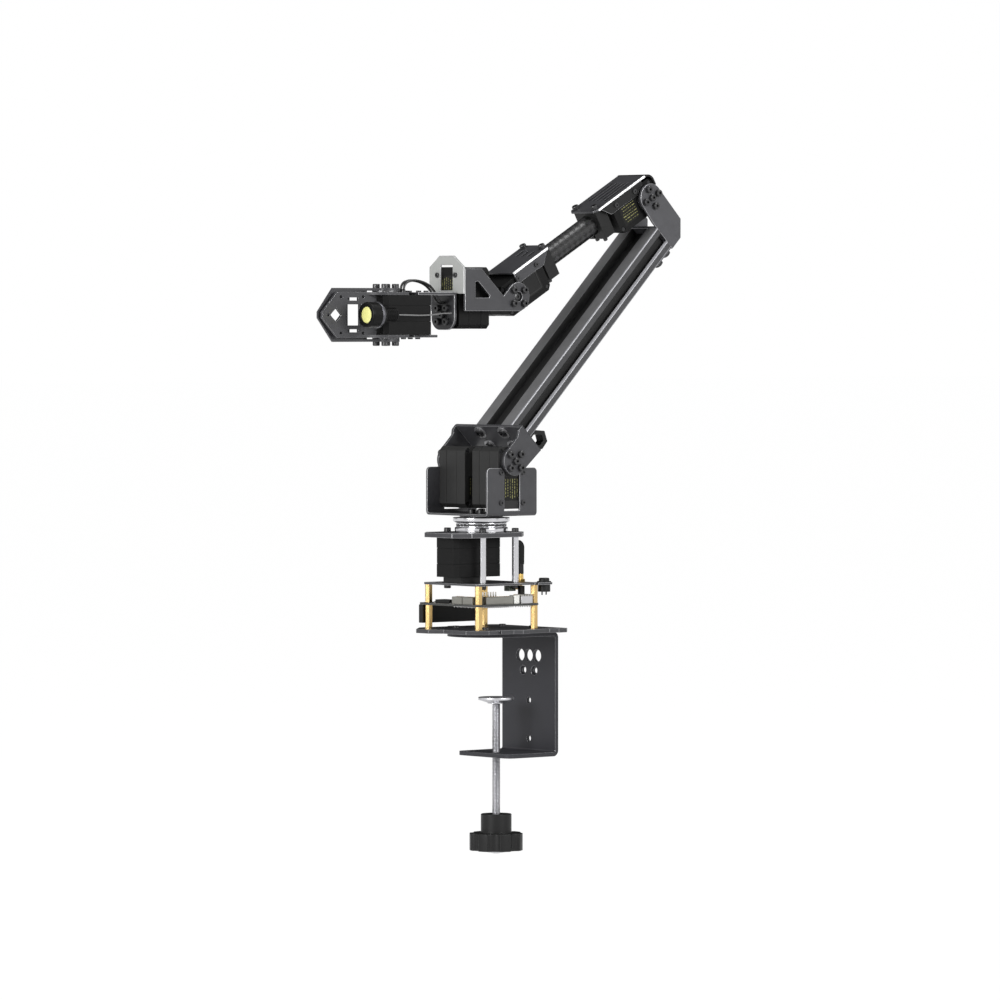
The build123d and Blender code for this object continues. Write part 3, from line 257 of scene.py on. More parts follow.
floor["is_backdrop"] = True


def soft_lamp(name, place, aim, power, size):
    """A square area lamp that looks at a point."""
    data = bpy.data.lights.new(name, "AREA")
    data.energy = power
    data.size = size
    lamp = bpy.data.objects.new(name, data)
    lamp.location = place
    lamp.rotation_euler = (Vector(aim) - Vector(place)).to_track_quat("-Z", "Y").to_euler()
    bpy.context.scene.collection.objects.link(lamp)
    return lamp


arm_middle = (-0.02, 0.0, 0.2)
soft_lamp("key_lamp", (-0.3, 2.1, 0.9), arm_middle, 42.0, 1.0)
soft_lamp("side_lamp", (2.1, 0.2, 0.7), arm_middle, 46.0, 1.0)
soft_lamp("top_lamp", (-0.6, 0.3, 2.3), arm_middle, 18.0, 0.9)
bpy.context.scene.view_settings.view_transform = "Standard"
print("floor at", round(level, 4), "m, three lamps")

# %% [markdown]
# ## Finishes
# Nearly everything here is black, so the finishes differ in gloss and in grain rather than in colour:
# powder coat on the bent sheet, fine spark grain on moulded plastic, turning marks on brass and steel. One
# function builds them all. A slow cloudy noise varies the colour and the gloss, a fine noise gives the grain
# as a bump, and stretching the noise along one axis turns grain into brushed or drawn lines. All patterns
# read Object coordinates in metres, so they keep their scale on every piece.

# %% One recipe for a finish
grain_share, cloud_share = 0.45, 0.55
scuff_start = 0.80
coat_roughness = 0.12
finishes = {}


def finish(name, colour, roughness, metallic=0.0, cloud=0.12, cloud_size=9.0, grain_size=0.5, grain_depth=0.012,
           stretch=(1, 1, 1), scuff=0.0, coat=0.0, specular=0.5):
    """Makes a material. Sizes are in millimetres; cloud is how far the colour and the gloss vary."""
    material = bpy.data.materials.new(name)
    material.use_nodes = True
    tree = material.node_tree
    place = step(tree, "ShaderNodeTexCoord")
    along = step(tree, "ShaderNodeMapping", {"Vector": place.outputs["Object"], "Scale": stretch})
    clouds = step(tree, "ShaderNodeTexNoise", {
        "Vector": place.outputs["Object"], "Scale": 1000.0 / cloud_size, "Detail": 3.0, "Roughness": 0.6})
    grain = step(tree, "ShaderNodeTexNoise", {
        "Vector": along.outputs["Vector"], "Scale": 1000.0 / grain_size, "Detail": 2.0, "Roughness": 0.55})
    part_cloud = step(tree, "ShaderNodeMath", {0: clouds.outputs["Fac"], 1: cloud_share}, operation="MULTIPLY")
    blend = step(tree, "ShaderNodeMath", {0: grain.outputs["Fac"], 1: grain_share, 2: part_cloud.outputs[0]},
                 operation="MULTIPLY_ADD")
    ramp = step(tree, "ShaderNodeValToRGB", {"Fac": blend.outputs[0]})
    low, high = ramp.color_ramp.elements
    low.position, high.position = 0.32, 0.68
    low.color = (*[c * (1 - cloud) for c in colour], 1.0)
    high.color = (*[min(1.0, c * (1 + cloud)) for c in colour], 1.0)
    if scuff:
        worn = ramp.color_ramp.elements.new(scuff_start)
        worn.color = (*[min(1.0, c * (1 + cloud) + scuff) for c in colour], 1.0)
    gloss = step(tree, "ShaderNodeMapRange", {
        "Value": blend.outputs[0], "From Min": 0.3, "From Max": 0.7,
        "To Min": max(0.04, roughness * (1 - cloud)), "To Max": min(1.0, roughness * (1 + cloud))})
    bump = step(tree, "ShaderNodeBump", {
        "Height": grain.outputs["Fac"], "Strength": 0.6, "Distance": grain_depth * MM})
    plug(tree, tree.nodes["Principled BSDF"], {
        "Base Color": ramp.outputs["Color"], "Roughness": gloss.outputs[0], "Normal": bump.outputs["Normal"],
        "Metallic": metallic, "Coat Weight": coat, "Coat Roughness": coat_roughness,
        "Specular IOR Level": specular})
    finishes[name] = material


finish("dark_sheet", (0.03, 0.03, 0.033), 0.4, grain_size=0.35, scuff=0.004, specular=0.42)
# A lighter copy of the sheet's finish, used as painted light on the elbow bracket.
finish("painted_light_sheet", (0.044, 0.044, 0.048), 0.42, grain_size=0.35, scuff=0.004, specular=0.45)
finish("black_sheet", (0.02, 0.02, 0.024), 0.44, grain_size=0.6, grain_depth=0.03, specular=0.3)
finish("servo_plastic", (0.0062, 0.0062, 0.0062), 0.46, grain_size=0.25, grain_depth=0.02, specular=0.1)
# A lighter copy of the motors' plastic: the frame on the wrist motor's panel, and painted light on the two
# shoulder motors' cases.
finish("servo_satin_and_painted_light", (0.015, 0.015, 0.0148), 0.5, grain_size=0.25, grain_depth=0.02, specular=0.22)
finish("white_plastic", (0.6, 0.6, 0.57), 0.45, cloud=0.05)
finish("black_plastic", (0.008, 0.008, 0.008), 0.4, grain_size=0.3, specular=0.22)
finish("beam_metal", (0.15, 0.15, 0.153), 0.45, metallic=0.4, grain_size=0.5, specular=0.4)
finish("board", (0.008, 0.009, 0.009), 0.22, cloud=0.2, grain_size=1.4, grain_depth=0.02, coat=0.4)
finish("connector_plastic", (0.145, 0.142, 0.125), 0.5, cloud=0.08)
finish("brass", (0.6, 0.42, 0.18), 0.24, metallic=1.0, cloud=0.07, grain_size=0.3, stretch=(1, 1, 6))
finish("steel", (0.62, 0.62, 0.64), 0.14, metallic=1.0, cloud=0.06, grain_size=0.35, grain_depth=0.004,
       stretch=(1, 1, 6))
finish("zinc", (0.55, 0.55, 0.57), 0.34, metallic=1.0, cloud=0.08, grain_size=0.5, grain_depth=0.004)
finish("screw_black", (0.01, 0.01, 0.011), 0.32, grain_size=0.3, specular=0.6)
finish("screw_silver", (0.016, 0.016, 0.017), 0.28, metallic=0.3, grain_size=0.3)
finish("horn_metal", (0.03, 0.03, 0.032), 0.3, metallic=0.5, grain_size=0.4)
finish("light_plate", (0.305, 0.31, 0.3), 0.38, metallic=0.1, cloud=0.05, grain_size=0.3)
finish("lead", (0.008, 0.008, 0.008), 0.35, grain_size=0.6, grain_depth=0.01)
finish("wire", (0.13, 0.13, 0.13), 0.45, grain_size=0.5)
# The brighter finishes of rounded edges below are partly the bare metal of worn edges, partly a painted highlight.
finish("raw_edge_and_painted_highlight", (0.4, 0.4, 0.41), 0.36, metallic=0.8, grain_size=0.4)
finish("plate_edge_and_painted_highlight", (0.16, 0.16, 0.165), 0.4, metallic=0.6, grain_size=0.4)
# beam_painted_highlight is a painted highlight on the beam's edges; beam_side_painted_shade and beam_shade are
# painted shade on its sides, channels and slots.
finish("beam_painted_highlight", (0.26, 0.26, 0.275), 0.46, metallic=0.6, grain_size=0.5, specular=0.3)
finish("beam_side_painted_shade", (0.05, 0.05, 0.052), 0.45, metallic=0.3, grain_size=0.5, specular=0.3)
finish("beam_shade", (0.014, 0.014, 0.014), 0.5, grain_size=0.5, specular=0.18)
# A painted highlight for the broad bright line on the covers' rounded folds.
finish("painted_fold_highlight", (0.7, 0.7, 0.71), 0.32, metallic=0.7, grain_size=0.4)
finish("deck_plug", (0.13, 0.15, 0.12), 0.5, cloud=0.08)
finish("label_face", (0.0035, 0.0035, 0.003), 0.4, grain_size=0.5, specular=0.2)
finish("label_print", (0.2, 0.195, 0.075), 0.6, cloud=0.5, cloud_size=1.2, specular=0.2)
finish("lamp_black", (0.0035, 0.0035, 0.0035), 0.36, grain_size=0.3, specular=0.12)
finish("ring_metal", (0.1, 0.1, 0.11), 0.25, metallic=0.8, grain_size=0.3)
finish("pin_metal", (0.72, 0.7, 0.66), 0.2, metallic=1.0)
finish("pin_gold", (0.8, 0.55, 0.18), 0.22, metallic=1.0)
finish("solder", (0.55, 0.55, 0.56), 0.3, metallic=1.0)
finish("chip", (0.007, 0.007, 0.007), 0.45, grain_size=0.2, specular=0.2)
finish("chip_tan", (0.3, 0.22, 0.14), 0.5)
finish("carbon", (0.012, 0.012, 0.012), 0.3, coat=0.3)
finish("lens", (0.6, 0.59, 0.215), 0.22, coat=0.4)
print(len(finishes), "finishes")

# %% Give every CAD node its finish
for name, item in nodes.items():
    item.data.materials.clear()
    item.data.materials.append(finishes[slot_of_node[name]])
for piece, name in zip(leads, ("lead", "lead", "wire")):
    piece.data.materials.append(finishes[name])
print("finished", len(nodes), "nodes and", len(leads), "leads")

# %% [markdown]
# ## Sheet metal with rounded, shining edges
# A bent and powder-coated sheet is dark on its faces, but its cut edges are slightly rounded and catch the
# light as thin bright lines. CAD edges are perfectly sharp and reflect nothing. So each sheet gets a copy
# of its CAD mesh, welded and with its flat areas joined, and the Bevel modifier rounds every real edge by a
# quarter of a millimetre. The new narrow faces take a second, brighter finish, which is partly the bare metal
# of worn or raw edges and partly a painted highlight.

# %% A copy with rounded edges
edge_round = 0.24 * MM
fold_round = 1.5 * MM
weld_reach = 0.004 * MM
flat_angle = math.radians(0.6)
edge_angle = math.radians(34)
face_number, edge_number, shade_number, fold_number = 0, 1, 2, 3


def make_object(name, mesh, body):
    """A finished piece that rides on a body."""
    piece = bpy.data.objects.new(name, mesh)
    bpy.context.scene.collection.objects.link(piece)
    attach(piece, body)
    return piece


def applied(piece):
    """The mesh of a piece with its modifiers applied."""
    graph = bpy.context.evaluated_depsgraph_get()
    mesh = bpy.data.meshes.new_from_object(piece.evaluated_get(graph))
    piece.modifiers.clear()
    return mesh


def rounded(name, mesh, width, edge_slot=1, fold_width=0.0):
    """The mesh with every sharp edge rounded, and the edges that are marked as folds rounded more."""
    rough = bpy.data.objects.new(name, mesh)
    bpy.context.scene.collection.objects.link(rough)
    if fold_width:
        folding = rough.modifiers.new("folds", "BEVEL")
        folding.width = fold_width
        folding.segments = 3
        folding.limit_method = "WEIGHT"
        folding.material = fold_number
        folding.use_clamp_overlap = False
    bevel = rough.modifiers.new("rounded", "BEVEL")
    bevel.width = width
    bevel.segments = 2
    bevel.limit_method = "ANGLE"
    bevel.angle_limit = edge_angle
    bevel.material = edge_slot
    even = rough.modifiers.new("even", "WEIGHTED_NORMAL")
    even.weight = 100
    mesh.shade_smooth()
    done = applied(rough)
    bpy.data.objects.remove(rough)
    return done


def welded(node):
    """A copy of a CAD node's mesh, with its loose triangles welded and its flat areas joined."""
    work = bmesh.new()
    work.from_mesh(nodes[node].data)
    bmesh.ops.remove_doubles(work, verts=work.verts, dist=weld_reach)
    bmesh.ops.dissolve_limit(work, angle_limit=flat_angle, verts=work.verts, edges=work.edges)
    mesh = bpy.data.meshes.new(node + "_copy")
    work.to_mesh(mesh)
    work.free()
    return mesh


def dress(node, width=edge_round, edge="raw_edge_and_painted_highlight", face=None, fold=None, shade="black_plastic",
          line="painted_fold_highlight", paint=()):
    """Stands a rounded copy in the place of a CAD node. fold picks the edges to round widely. The finishes
    are those of its flat faces, its rounded edges, its places of painted shade and its folds, and each line of
    paint gives the number of one of them to the faces that pass a test. A brighter finish on the edges or the
    folds is, in part or in whole, a painted highlight."""
    mesh = welded(node)
    slot = slot_of_node[node]
    mesh.materials.clear()
    for name in (face or slot, edge, shade, line):
        mesh.materials.append(finishes[name])
    if fold:
        marks = mesh.attributes.new("bevel_weight_edge", "FLOAT", "EDGE")
        for border in mesh.edges:
            ends = [mesh.vertices[v].co for v in border.vertices]
            marks.data[border.index].value = 1.0 if fold(*ends) else 0.0
    mesh = rounded(node, mesh, width, fold_width=fold_round if fold else 0.0)
    for part in mesh.polygons:
        for test, number in paint:
            if test(part):
                part.material_index = number
    piece = make_object(node + "_dressed", mesh, body_of_node[node])
    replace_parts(piece, node)
    return piece


sheets = (
    "base_plate deck_plate motor_plate shoulder_bracket shoulder_yoke elbow_bracket wrist_yoke gripper_frame "
    "fixed_jaw moving_jaw clamp_bracket roll_servo_plate"
).split()
# Each sheet's rounded edges take a brighter finish, partly bare worn metal, partly a painted highlight; the base
# plate's is dimmer.
for node in sheets:
    # The elbow bracket takes the lighter copy of the sheet's finish as painted light.
    piece = dress(node, edge="plate_edge_and_painted_highlight" if node == "base_plate" else "raw_edge_and_painted_highlight",
                  face="painted_light_sheet" if node == "elbow_bracket" else None)
    print(node, len(piece.data.polygons), "faces")
for node in ("rear_tube_clamp", "front_tube_clamp", "power_button_body", "power_button", "beam_clip"):
    dress(node, edge=slot_of_node[node])
for node in ("bearing_lower_washer", "bearing_cage", "bearing_upper_washer", "clamp_pad", "motor_posts"):
    dress(node, width=0.3 * MM, edge=slot_of_node[node])
dress("standoffs", width=0.3 * MM, edge="brass")
for node in ("shoulder_horns", "elbow_horns", "wrist_horns", "gripper_horns", "roll_horn", "yaw_hub"):
    dress(node, width=0.3 * MM)

# %% [markdown]
# ## The beam and the forearm's covers
# The beam's long edges are rounder than cut ones, and a painted highlight lies on them and on its four long
# corners. Painted shade darkens its deep channels, the slots in its sides and the sides themselves. The
# covers are bent along two long folds, and a broad painted highlight lies on each. Only those folds are
# rounded widely: their edges are marked, and a first Bevel takes the marked ones alone. The ribs between the
# folds get no painted highlight on their edges, and the faces behind the elbow's shaft take black as painted
# shade.

# %% Beam and covers
joint_at = {joint["name"]: Vector(joint["pos_m"]) for joint in frame["joints"] if "pos_m" in joint}
forearm_line = (joint_at["wrist_pitch"] - joint_at["elbow_pitch"]).normalized()
cover_half = 16.0 * MM
rib_reach = 13.5 * MM
fold_height = 15.5 * MM
hood_start = 0.2 * MM


def is_fold(start, end):
    """Whether an edge runs along the forearm on a cover's outer side, in its upper half."""
    along = abs((end - start).normalized().dot(forearm_line)) > 0.99
    above = ((start + end) / 2 - joint_at["elbow_pitch"]).cross(forearm_line).y
    return along and min(abs(start.y), abs(end.y)) > cover_half - 0.1 * MM and abs(above) > fold_height


def on_ribs(part):
    """Whether a rounded face is between a cover's two folds."""
    return part.material_index and abs(part.center.y) < rib_reach


def on_hood(part):
    """Whether a face is behind the elbow's shaft."""
    return (part.center - joint_at["elbow_pitch"]).dot(forearm_line) < hood_start


def beam_out(part):
    """How far a face is in front of the beam's middle."""
    return (part.center - joint_at["shoulder_pitch"]).dot(beam_front)


def in_channel(part):
    """Whether a face is in one of the beam's two wide channels."""
    return abs(part.center.y) < channel_reach


def on_rim(part):
    """Whether a face is the rounded rim of a channel."""
    return part.material_index == edge_number and channel_reach < abs(part.center.y) < side_reach


def on_side(part):
    """Whether a face is on the beam's left or right side."""
    return abs(part.center.y) > side_reach


def in_slot(part):
    """Whether a face is inside a side's slot, or on the front half of its mouth."""
    across = abs(part.center.y)
    in_mouth = across > lip_reach and mouth_start < beam_out(part) < mouth_reach
    return side_reach < across < lip_reach or in_mouth


def on_corner(part):
    """Whether a face is on one of the beam's four long corners, or on the back half of a slot's mouth."""
    across, out = abs(part.center.y), beam_out(part)
    return (across > corner_side and abs(out) > corner_front) or (across > lip_reach and -mouth_reach < out < 0)


beam_lean = math.radians(44.7)
beam_front = Vector((math.cos(beam_lean), 0.0, math.sin(beam_lean)))
channel_reach, side_reach, lip_reach = 8.5 * MM, 14.3 * MM, 18.1 * MM
corner_side, corner_front = 19.0 * MM, 9.0 * MM
mouth_start, mouth_reach = 2.9 * MM, 5.2 * MM
# On the beam, the rounded edges, the four long corners and the back half of each slot's mouth carry a painted
# highlight, the channels' rims keep the flange's finish, and the sides, the channels, the slots and the front half
# of each slot's mouth take painted shade.
dress("arm_beam", width=0.4 * MM, edge="beam_painted_highlight", shade="beam_shade", line="beam_side_painted_shade",
      paint=((on_rim, face_number), (on_side, fold_number), (in_channel, shade_number),
             (in_slot, shade_number), (on_corner, edge_number)))
# Faces behind the elbow's shaft take black as painted shade.
dress("forearm_rear_cover", fold=is_fold, paint=((on_ribs, face_number), (on_hood, shade_number)))
dress("forearm_front_cover", fold=is_fold, paint=((on_ribs, face_number),))
print("beam and covers done")

# %% [markdown]
# ## Screws from one Geometry Nodes tree
# Dozens of socket screws hold the arm together. The CAD has them as plain discs, which give their places
# and sizes but not their hexagon sockets. We read each disc back from the CAD: its widest flat faces give
# the axis, and the end that touches a neighbour is its seat. Each screw then becomes one point that carries
# its direction and its size, and a Geometry Nodes tree puts a head on every point. The head is drawn once
# inside the tree: a circle with a hexagon in it is filled, pulled up, and pulled up again a little smaller
# for the rounded rim.

# %% Helpers for Geometry Nodes
def start_tree(name, sizes):
    """An empty tree with named sizes, and its input and output nodes."""
    tree = bpy.data.node_groups.new(name, "GeometryNodeTree")
    tree.interface.new_socket("Geometry", in_out="INPUT", socket_type="NodeSocketGeometry")
    for title, value in sizes.items():
        kind = "NodeSocketInt" if isinstance(value, int) else "NodeSocketFloat"
        tree.interface.new_socket(title, in_out="INPUT", socket_type=kind).default_value = value
    tree.interface.new_socket("Geometry", in_out="OUTPUT", socket_type="NodeSocketGeometry")
    return tree, tree.nodes.new("NodeGroupInput"), tree.nodes.new("NodeGroupOutput")


def one_finish(mesh, name):
    """Leaves a mesh with a single finish. A mesh from a tree can have an empty slot first."""
    mesh.materials.clear()
    mesh.materials.append(finishes[name])
    for part in mesh.polygons:
        part.material_index = 0


def run_tree(tree, start, sizes=None):
    """The plain mesh that a tree makes from a start mesh."""
    holder = bpy.data.objects.new("holder", start)
    bpy.context.scene.collection.objects.link(holder)
    modifier = holder.modifiers.new("nodes", "NODES")
    modifier.node_group = tree
    for item in tree.interface.items_tree:
        if item.in_out == "INPUT" and item.name in (sizes or {}):
            modifier[item.identifier] = sizes[item.name]
    mesh = applied(holder)
    bpy.data.objects.remove(holder)
    return mesh


def marked_points(places, ways, sizes):
    """A mesh of loose points, each with a direction and a size."""
    mesh = bpy.data.meshes.new("points")
    mesh.from_pydata([tuple(place) for place in places], [], [])
    for title, values in (("way", ways), ("size", sizes)):
        data = mesh.attributes.new(title, "FLOAT_VECTOR", "POINT")
        data.data.foreach_set("vector", [number for value in values for number in value])
    return mesh


def on_points(tree, source, shape, material):
    """Ends a tree: puts a shape on every marked point, makes it real and gives it a material."""
    way = step(tree, "GeometryNodeInputNamedAttribute", {"Name": "way"}, data_type="FLOAT_VECTOR")
    size = step(tree, "GeometryNodeInputNamedAttribute", {"Name": "size"}, data_type="FLOAT_VECTOR")
    turn = step(tree, "FunctionNodeAlignRotationToVector", {"Vector": way.outputs["Attribute"]}, axis="Z")
    copies = step(tree, "GeometryNodeInstanceOnPoints", {
        "Points": source.outputs["Geometry"], "Instance": shape,
        "Rotation": turn.outputs["Rotation"], "Scale": size.outputs["Attribute"]})
    real = step(tree, "GeometryNodeRealizeInstances", {"Geometry": copies.outputs["Instances"]})
    return step(tree, "GeometryNodeSetMaterial", {"Geometry": real.outputs["Geometry"], "Material": material})


# %% The tree for a socket head
socket_share = 0.52
socket_depth = 0.62
head_rim = 0.16


def head_tree(material):
    """A socket head of radius one and height one on every marked point."""
    tree, source, target = start_tree("socket_head", {
        "Socket": socket_share, "Depth": socket_depth, "Rim": head_rim})
    circle = step(tree, "GeometryNodeCurvePrimitiveCircle", {"Resolution": 20, "Radius": 1.0})
    hexagon = step(tree, "GeometryNodeCurvePrimitiveCircle", {
        "Resolution": 6, "Radius": source.outputs["Socket"]})
    outline = step(tree, "GeometryNodeJoinGeometry")
    tree.links.new(circle.outputs["Curve"], outline.inputs["Geometry"])
    tree.links.new(hexagon.outputs["Curve"], outline.inputs["Geometry"])
    face = step(tree, "GeometryNodeFillCurve", {"Curve": outline.outputs["Geometry"]})
    body_height = step(tree, "ShaderNodeMath", {0: 1.0, 1: source.outputs["Rim"]}, operation="SUBTRACT")
    body = step(tree, "GeometryNodeExtrudeMesh", {
        "Mesh": face.outputs["Mesh"], "Individual": False, "Offset Scale": body_height.outputs[0]})
    rim = step(tree, "GeometryNodeExtrudeMesh", {
        "Mesh": body.outputs["Mesh"], "Selection": body.outputs["Top"], "Individual": False,
        "Offset Scale": source.outputs["Rim"]})
    rounded_rim = step(tree, "GeometryNodeScaleElements", {
        "Geometry": rim.outputs["Mesh"], "Selection": rim.outputs["Top"], "Scale": 0.86})
    floor_level = step(tree, "ShaderNodeMath", {0: 1.0, 1: source.outputs["Depth"]}, operation="SUBTRACT")
    floor_place = step(tree, "ShaderNodeCombineXYZ", {"Z": floor_level.outputs[0]})
    plate = step(tree, "GeometryNodeMeshCircle", {"Vertices": 12, "Radius": 0.75}, fill_type="NGON")
    floor_plate = step(tree, "GeometryNodeTransform", {
        "Geometry": plate.outputs["Mesh"], "Translation": floor_place.outputs[0]})
    whole = step(tree, "GeometryNodeJoinGeometry")
    tree.links.new(rounded_rim.outputs["Geometry"], whole.inputs["Geometry"])
    tree.links.new(floor_plate.outputs["Geometry"], whole.inputs["Geometry"])
    end = on_points(tree, source, whole.outputs["Geometry"], material)
    tree.links.new(end.outputs["Geometry"], target.inputs["Geometry"])
    return tree


def plain_tree(name, kind, values, material):
    """A simple shape on every marked point."""
    tree, source, target = start_tree(name, {})
    shape = step(tree, kind, values)
    end = on_points(tree, source, shape.outputs["Mesh"], material)
    tree.links.new(end.outputs["Geometry"], target.inputs["Geometry"])
    return tree


def discs(name, sides, look, places, ways, sizes):
    """Discs of radius and height one on marked points, which give them their direction and size."""
    tree = plain_tree(name, "GeometryNodeMeshCylinder", {"Vertices": sides, "Radius": 1.0, "Depth": 1.0},
                      finishes[look])
    return run_tree(tree, marked_points(places, ways, sizes))


# %% Read the screws back from the CAD
screw_nodes = (
    "stack_screws shoulder_bracket_screws arm_ear_screws beam_bolts forearm_screws wrist_screws "
    "gripper_screws moving_jaw_screws"
).split()
seat_work = bmesh.new()
for name, item in nodes.items():
    if name not in screw_nodes:
        seat_work.from_mesh(item.data)
seats = BVHTree.FromBMesh(seat_work)
seat_work.free()


def solids_of(node):
    """The separate solids of a CAD node, each as its corners and its faces' normals and areas. Everything is
    kept in the order of the mesh, so that every run gives the same pieces."""
    work = bmesh.new()
    work.from_mesh(nodes[node].data)
    bmesh.ops.remove_doubles(work, verts=work.verts, dist=weld_reach)
    left = dict.fromkeys(work.verts)
    found = []
    while left:
        edge = [next(iter(left))]
        del left[edge[0]]
        group = []
        while edge:
            vert = edge.pop()
            group.append(vert)
            for line in vert.link_edges:
                other = line.other_vert(vert)
                if other in left:
                    del left[other]
                    edge.append(other)
        faces = dict.fromkeys(face for vert in group for face in vert.link_faces)
        found.append(([vert.co.copy() for vert in group],
                      [(face.normal.copy(), face.calc_area()) for face in faces]))
    work.free()
    return found


def read_disc(corners, faces):
    """The seat, direction, radii at seat and top, height and step of one screw."""
    best, way = 0.0, None
    for normal, area in faces:
        total = sum(a for n, a in faces if abs(n.dot(normal)) > 0.999)
        if total > best:
            best, way = total, normal
    middle = sum(corners, Vector()) / len(corners)
    levels = [(c - middle).dot(way) for c in corners]
    low, high = min(levels), max(levels)
    ends = [middle + way * low, middle + way * high]
    gaps = [seats.find_nearest(end)[3] for end in ends]
    if gaps[0] > gaps[1]:
        way, levels, ends = -way, [-level for level in levels], ends[::-1]
        low, high = -high, -low
    reach = [((c - middle) - way * (c - middle).dot(way)).length for c in corners]
    foot = max(r for r, level in zip(reach, levels) if level < low + 0.1 * MM)
    top = max(r for r, level in zip(reach, levels) if level > high - 0.1 * MM)
    shelf = 0.0
    if foot > top * 1.1:
        shelf = max(level for r, level in zip(reach, levels) if r > foot - 0.1 * MM) - low
    return ends[0], way, foot, top, high - low, shelf


# %% Put a socket head in the place of each disc
head_total = 0
washer_rim = 0.7 * MM
for node in screw_nodes:
    places, ways, sizes, washers = [], [], [], []
    for corners, faces in solids_of(node):
        seat, way, foot, top, height, shelf = read_disc(corners, faces)
        if shelf:
            washers.append((seat + way * shelf / 2, way, (foot + washer_rim, foot + washer_rim, shelf)))
        places.append(seat + way * shelf)
        ways.append(way)
        sizes.append((top, top, height - shelf))
    material = finishes[slot_of_node[node]]
    mesh = run_tree(head_tree(material), marked_points(places, ways, sizes))
    mesh.shade_smooth()
    mesh.set_sharp_from_angle(angle=edge_angle)
    piece = make_object(node + "_heads", mesh, body_of_node[node])
    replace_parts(piece, node)
    if washers:
        mesh = discs("washer", 28, "raw_edge_and_painted_highlight", *zip(*washers))
        washer_piece = make_object(node + "_washers", mesh, body_of_node[node])
        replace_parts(washer_piece, node)
    head_total += len(places)
    print(node, len(places), "heads", len(washers), "washers", len(piece.data.polygons), "faces")
print(head_total, "screws in all")

# %% [markdown]
# ## The servo motors
# Seven equal motors drive the arm. A real one is moulded in three parts, with a dark seam between them, cut
# corners, a sunk field for a label on both broad faces and long screws in the corners. We make one case
# about its own shaft: three bevelled blocks, with the sunk places cut out by the Boolean modifier, because
# they are many small pockets in one body. Then the same mesh is turned to each motor's place. That place is
# read from the CAD: the joint's axis gives the shaft, and the middle of the CAD case tells which way the
# case points. The motor at the wrist has no printed label, and a plain framed square takes its place.

# %% Sizes of a motor case, in millimetres from its shaft
case_end, case_tail, case_side = -10.2, 35.0, 12.35
case_cut = 3.0
case_layers = ((-14.5, -5.05, 0.0), (-4.81, 6.55, 0.08), (6.79, 14.5, 0.0))
seam_depth = 0.5
corner_x, corner_y = (-7.1, 31.9), 9.3
pocket_radius, pocket_depth = 1.9, 0.9
label_x, label_y, label_depth = (11.5, 29.0), 8.6, 0.35
case_round = 0.3


def outline_block(work, inset, low, high, slot=0, cut=case_cut, span=None):
    """Adds a block with cut corners to a mesh that is in millimetres."""
    x0, x1, y0, y1 = span or (case_end, case_tail, -case_side, case_side)
    x0, x1, y0, y1 = x0 + inset, x1 - inset, y0 + inset, y1 - inset
    points = [(x0 + cut, y0), (x1 - cut, y0), (x1, y0 + cut), (x1, y1 - cut),
              (x1 - cut, y1), (x0 + cut, y1), (x0, y1 - cut), (x0, y0 + cut)]
    if not cut:
        points = [(x0, y0), (x1, y0), (x1, y1), (x0, y1)]
    below = [work.verts.new((x, y, low)) for x, y in points]
    above = [work.verts.new((x, y, high)) for x, y in points]
    faces = [work.faces.new(below[::-1]), work.faces.new(above)]
    for n in range(len(points)):
        m = (n + 1) % len(points)
        faces.append(work.faces.new((below[n], below[m], above[m], above[n])))
    for face in faces:
        face.material_index = slot


def drum(work, x, y, low, high, radius, sides=18, slot=0):
    """Adds an upright cylinder."""
    made = bmesh.ops.create_cone(work, cap_ends=True, segments=sides, radius1=radius, radius2=radius,
                                 depth=high - low, matrix=Matrix.Translation((x, y, (low + high) / 2)))
    for vert in made["verts"]:
        for face in vert.link_faces:
            face.material_index = slot


def mesh_of(work, name, materials, scale=1.0):
    """Closes a mesh in the making, in metres if it was drawn in millimetres."""
    if scale != 1.0:
        bmesh.ops.scale(work, vec=(scale, scale, scale), verts=work.verts)
    bmesh.ops.recalc_face_normals(work, faces=work.faces)
    mesh = bpy.data.meshes.new(name)
    work.to_mesh(mesh)
    work.free()
    for material in materials:
        mesh.materials.append(finishes[material])
    return mesh


# %% Cut the pockets and round the case
case_materials = ("servo_plastic", "servo_plastic", "label_face", "label_print", "screw_silver", "chip")
work = bmesh.new()
for low, high, inset in case_layers:
    outline_block(work, inset, low, high)
shell = mesh_of(work, "shell", case_materials, MM)
work = bmesh.new()
for side in (-1, 1):
    face = 14.5 * side
    for x in corner_x:
        for y in (-corner_y, corner_y):
            drum(work, x, y, face - pocket_depth, face + pocket_depth, pocket_radius, slot=0)
    outline_block(work, 0, face - label_depth, face + label_depth, 0, 0, (*label_x, -label_y, label_y))
cutters = mesh_of(work, "cutters", (), MM)
case = bpy.data.objects.new("case", shell)
tool = bpy.data.objects.new("tool", cutters)
for item in (case, tool):
    bpy.context.scene.collection.objects.link(item)
cutting = case.modifiers.new("pockets", "BOOLEAN")
cutting.object = tool
cutting.operation = "DIFFERENCE"
cutting.solver = "EXACT"
case_mesh = rounded("rounded_case", applied(case), case_round * MM)
for item in (case, tool):
    bpy.data.objects.remove(item)
print("case with pockets:", len(case_mesh.polygons), "faces")

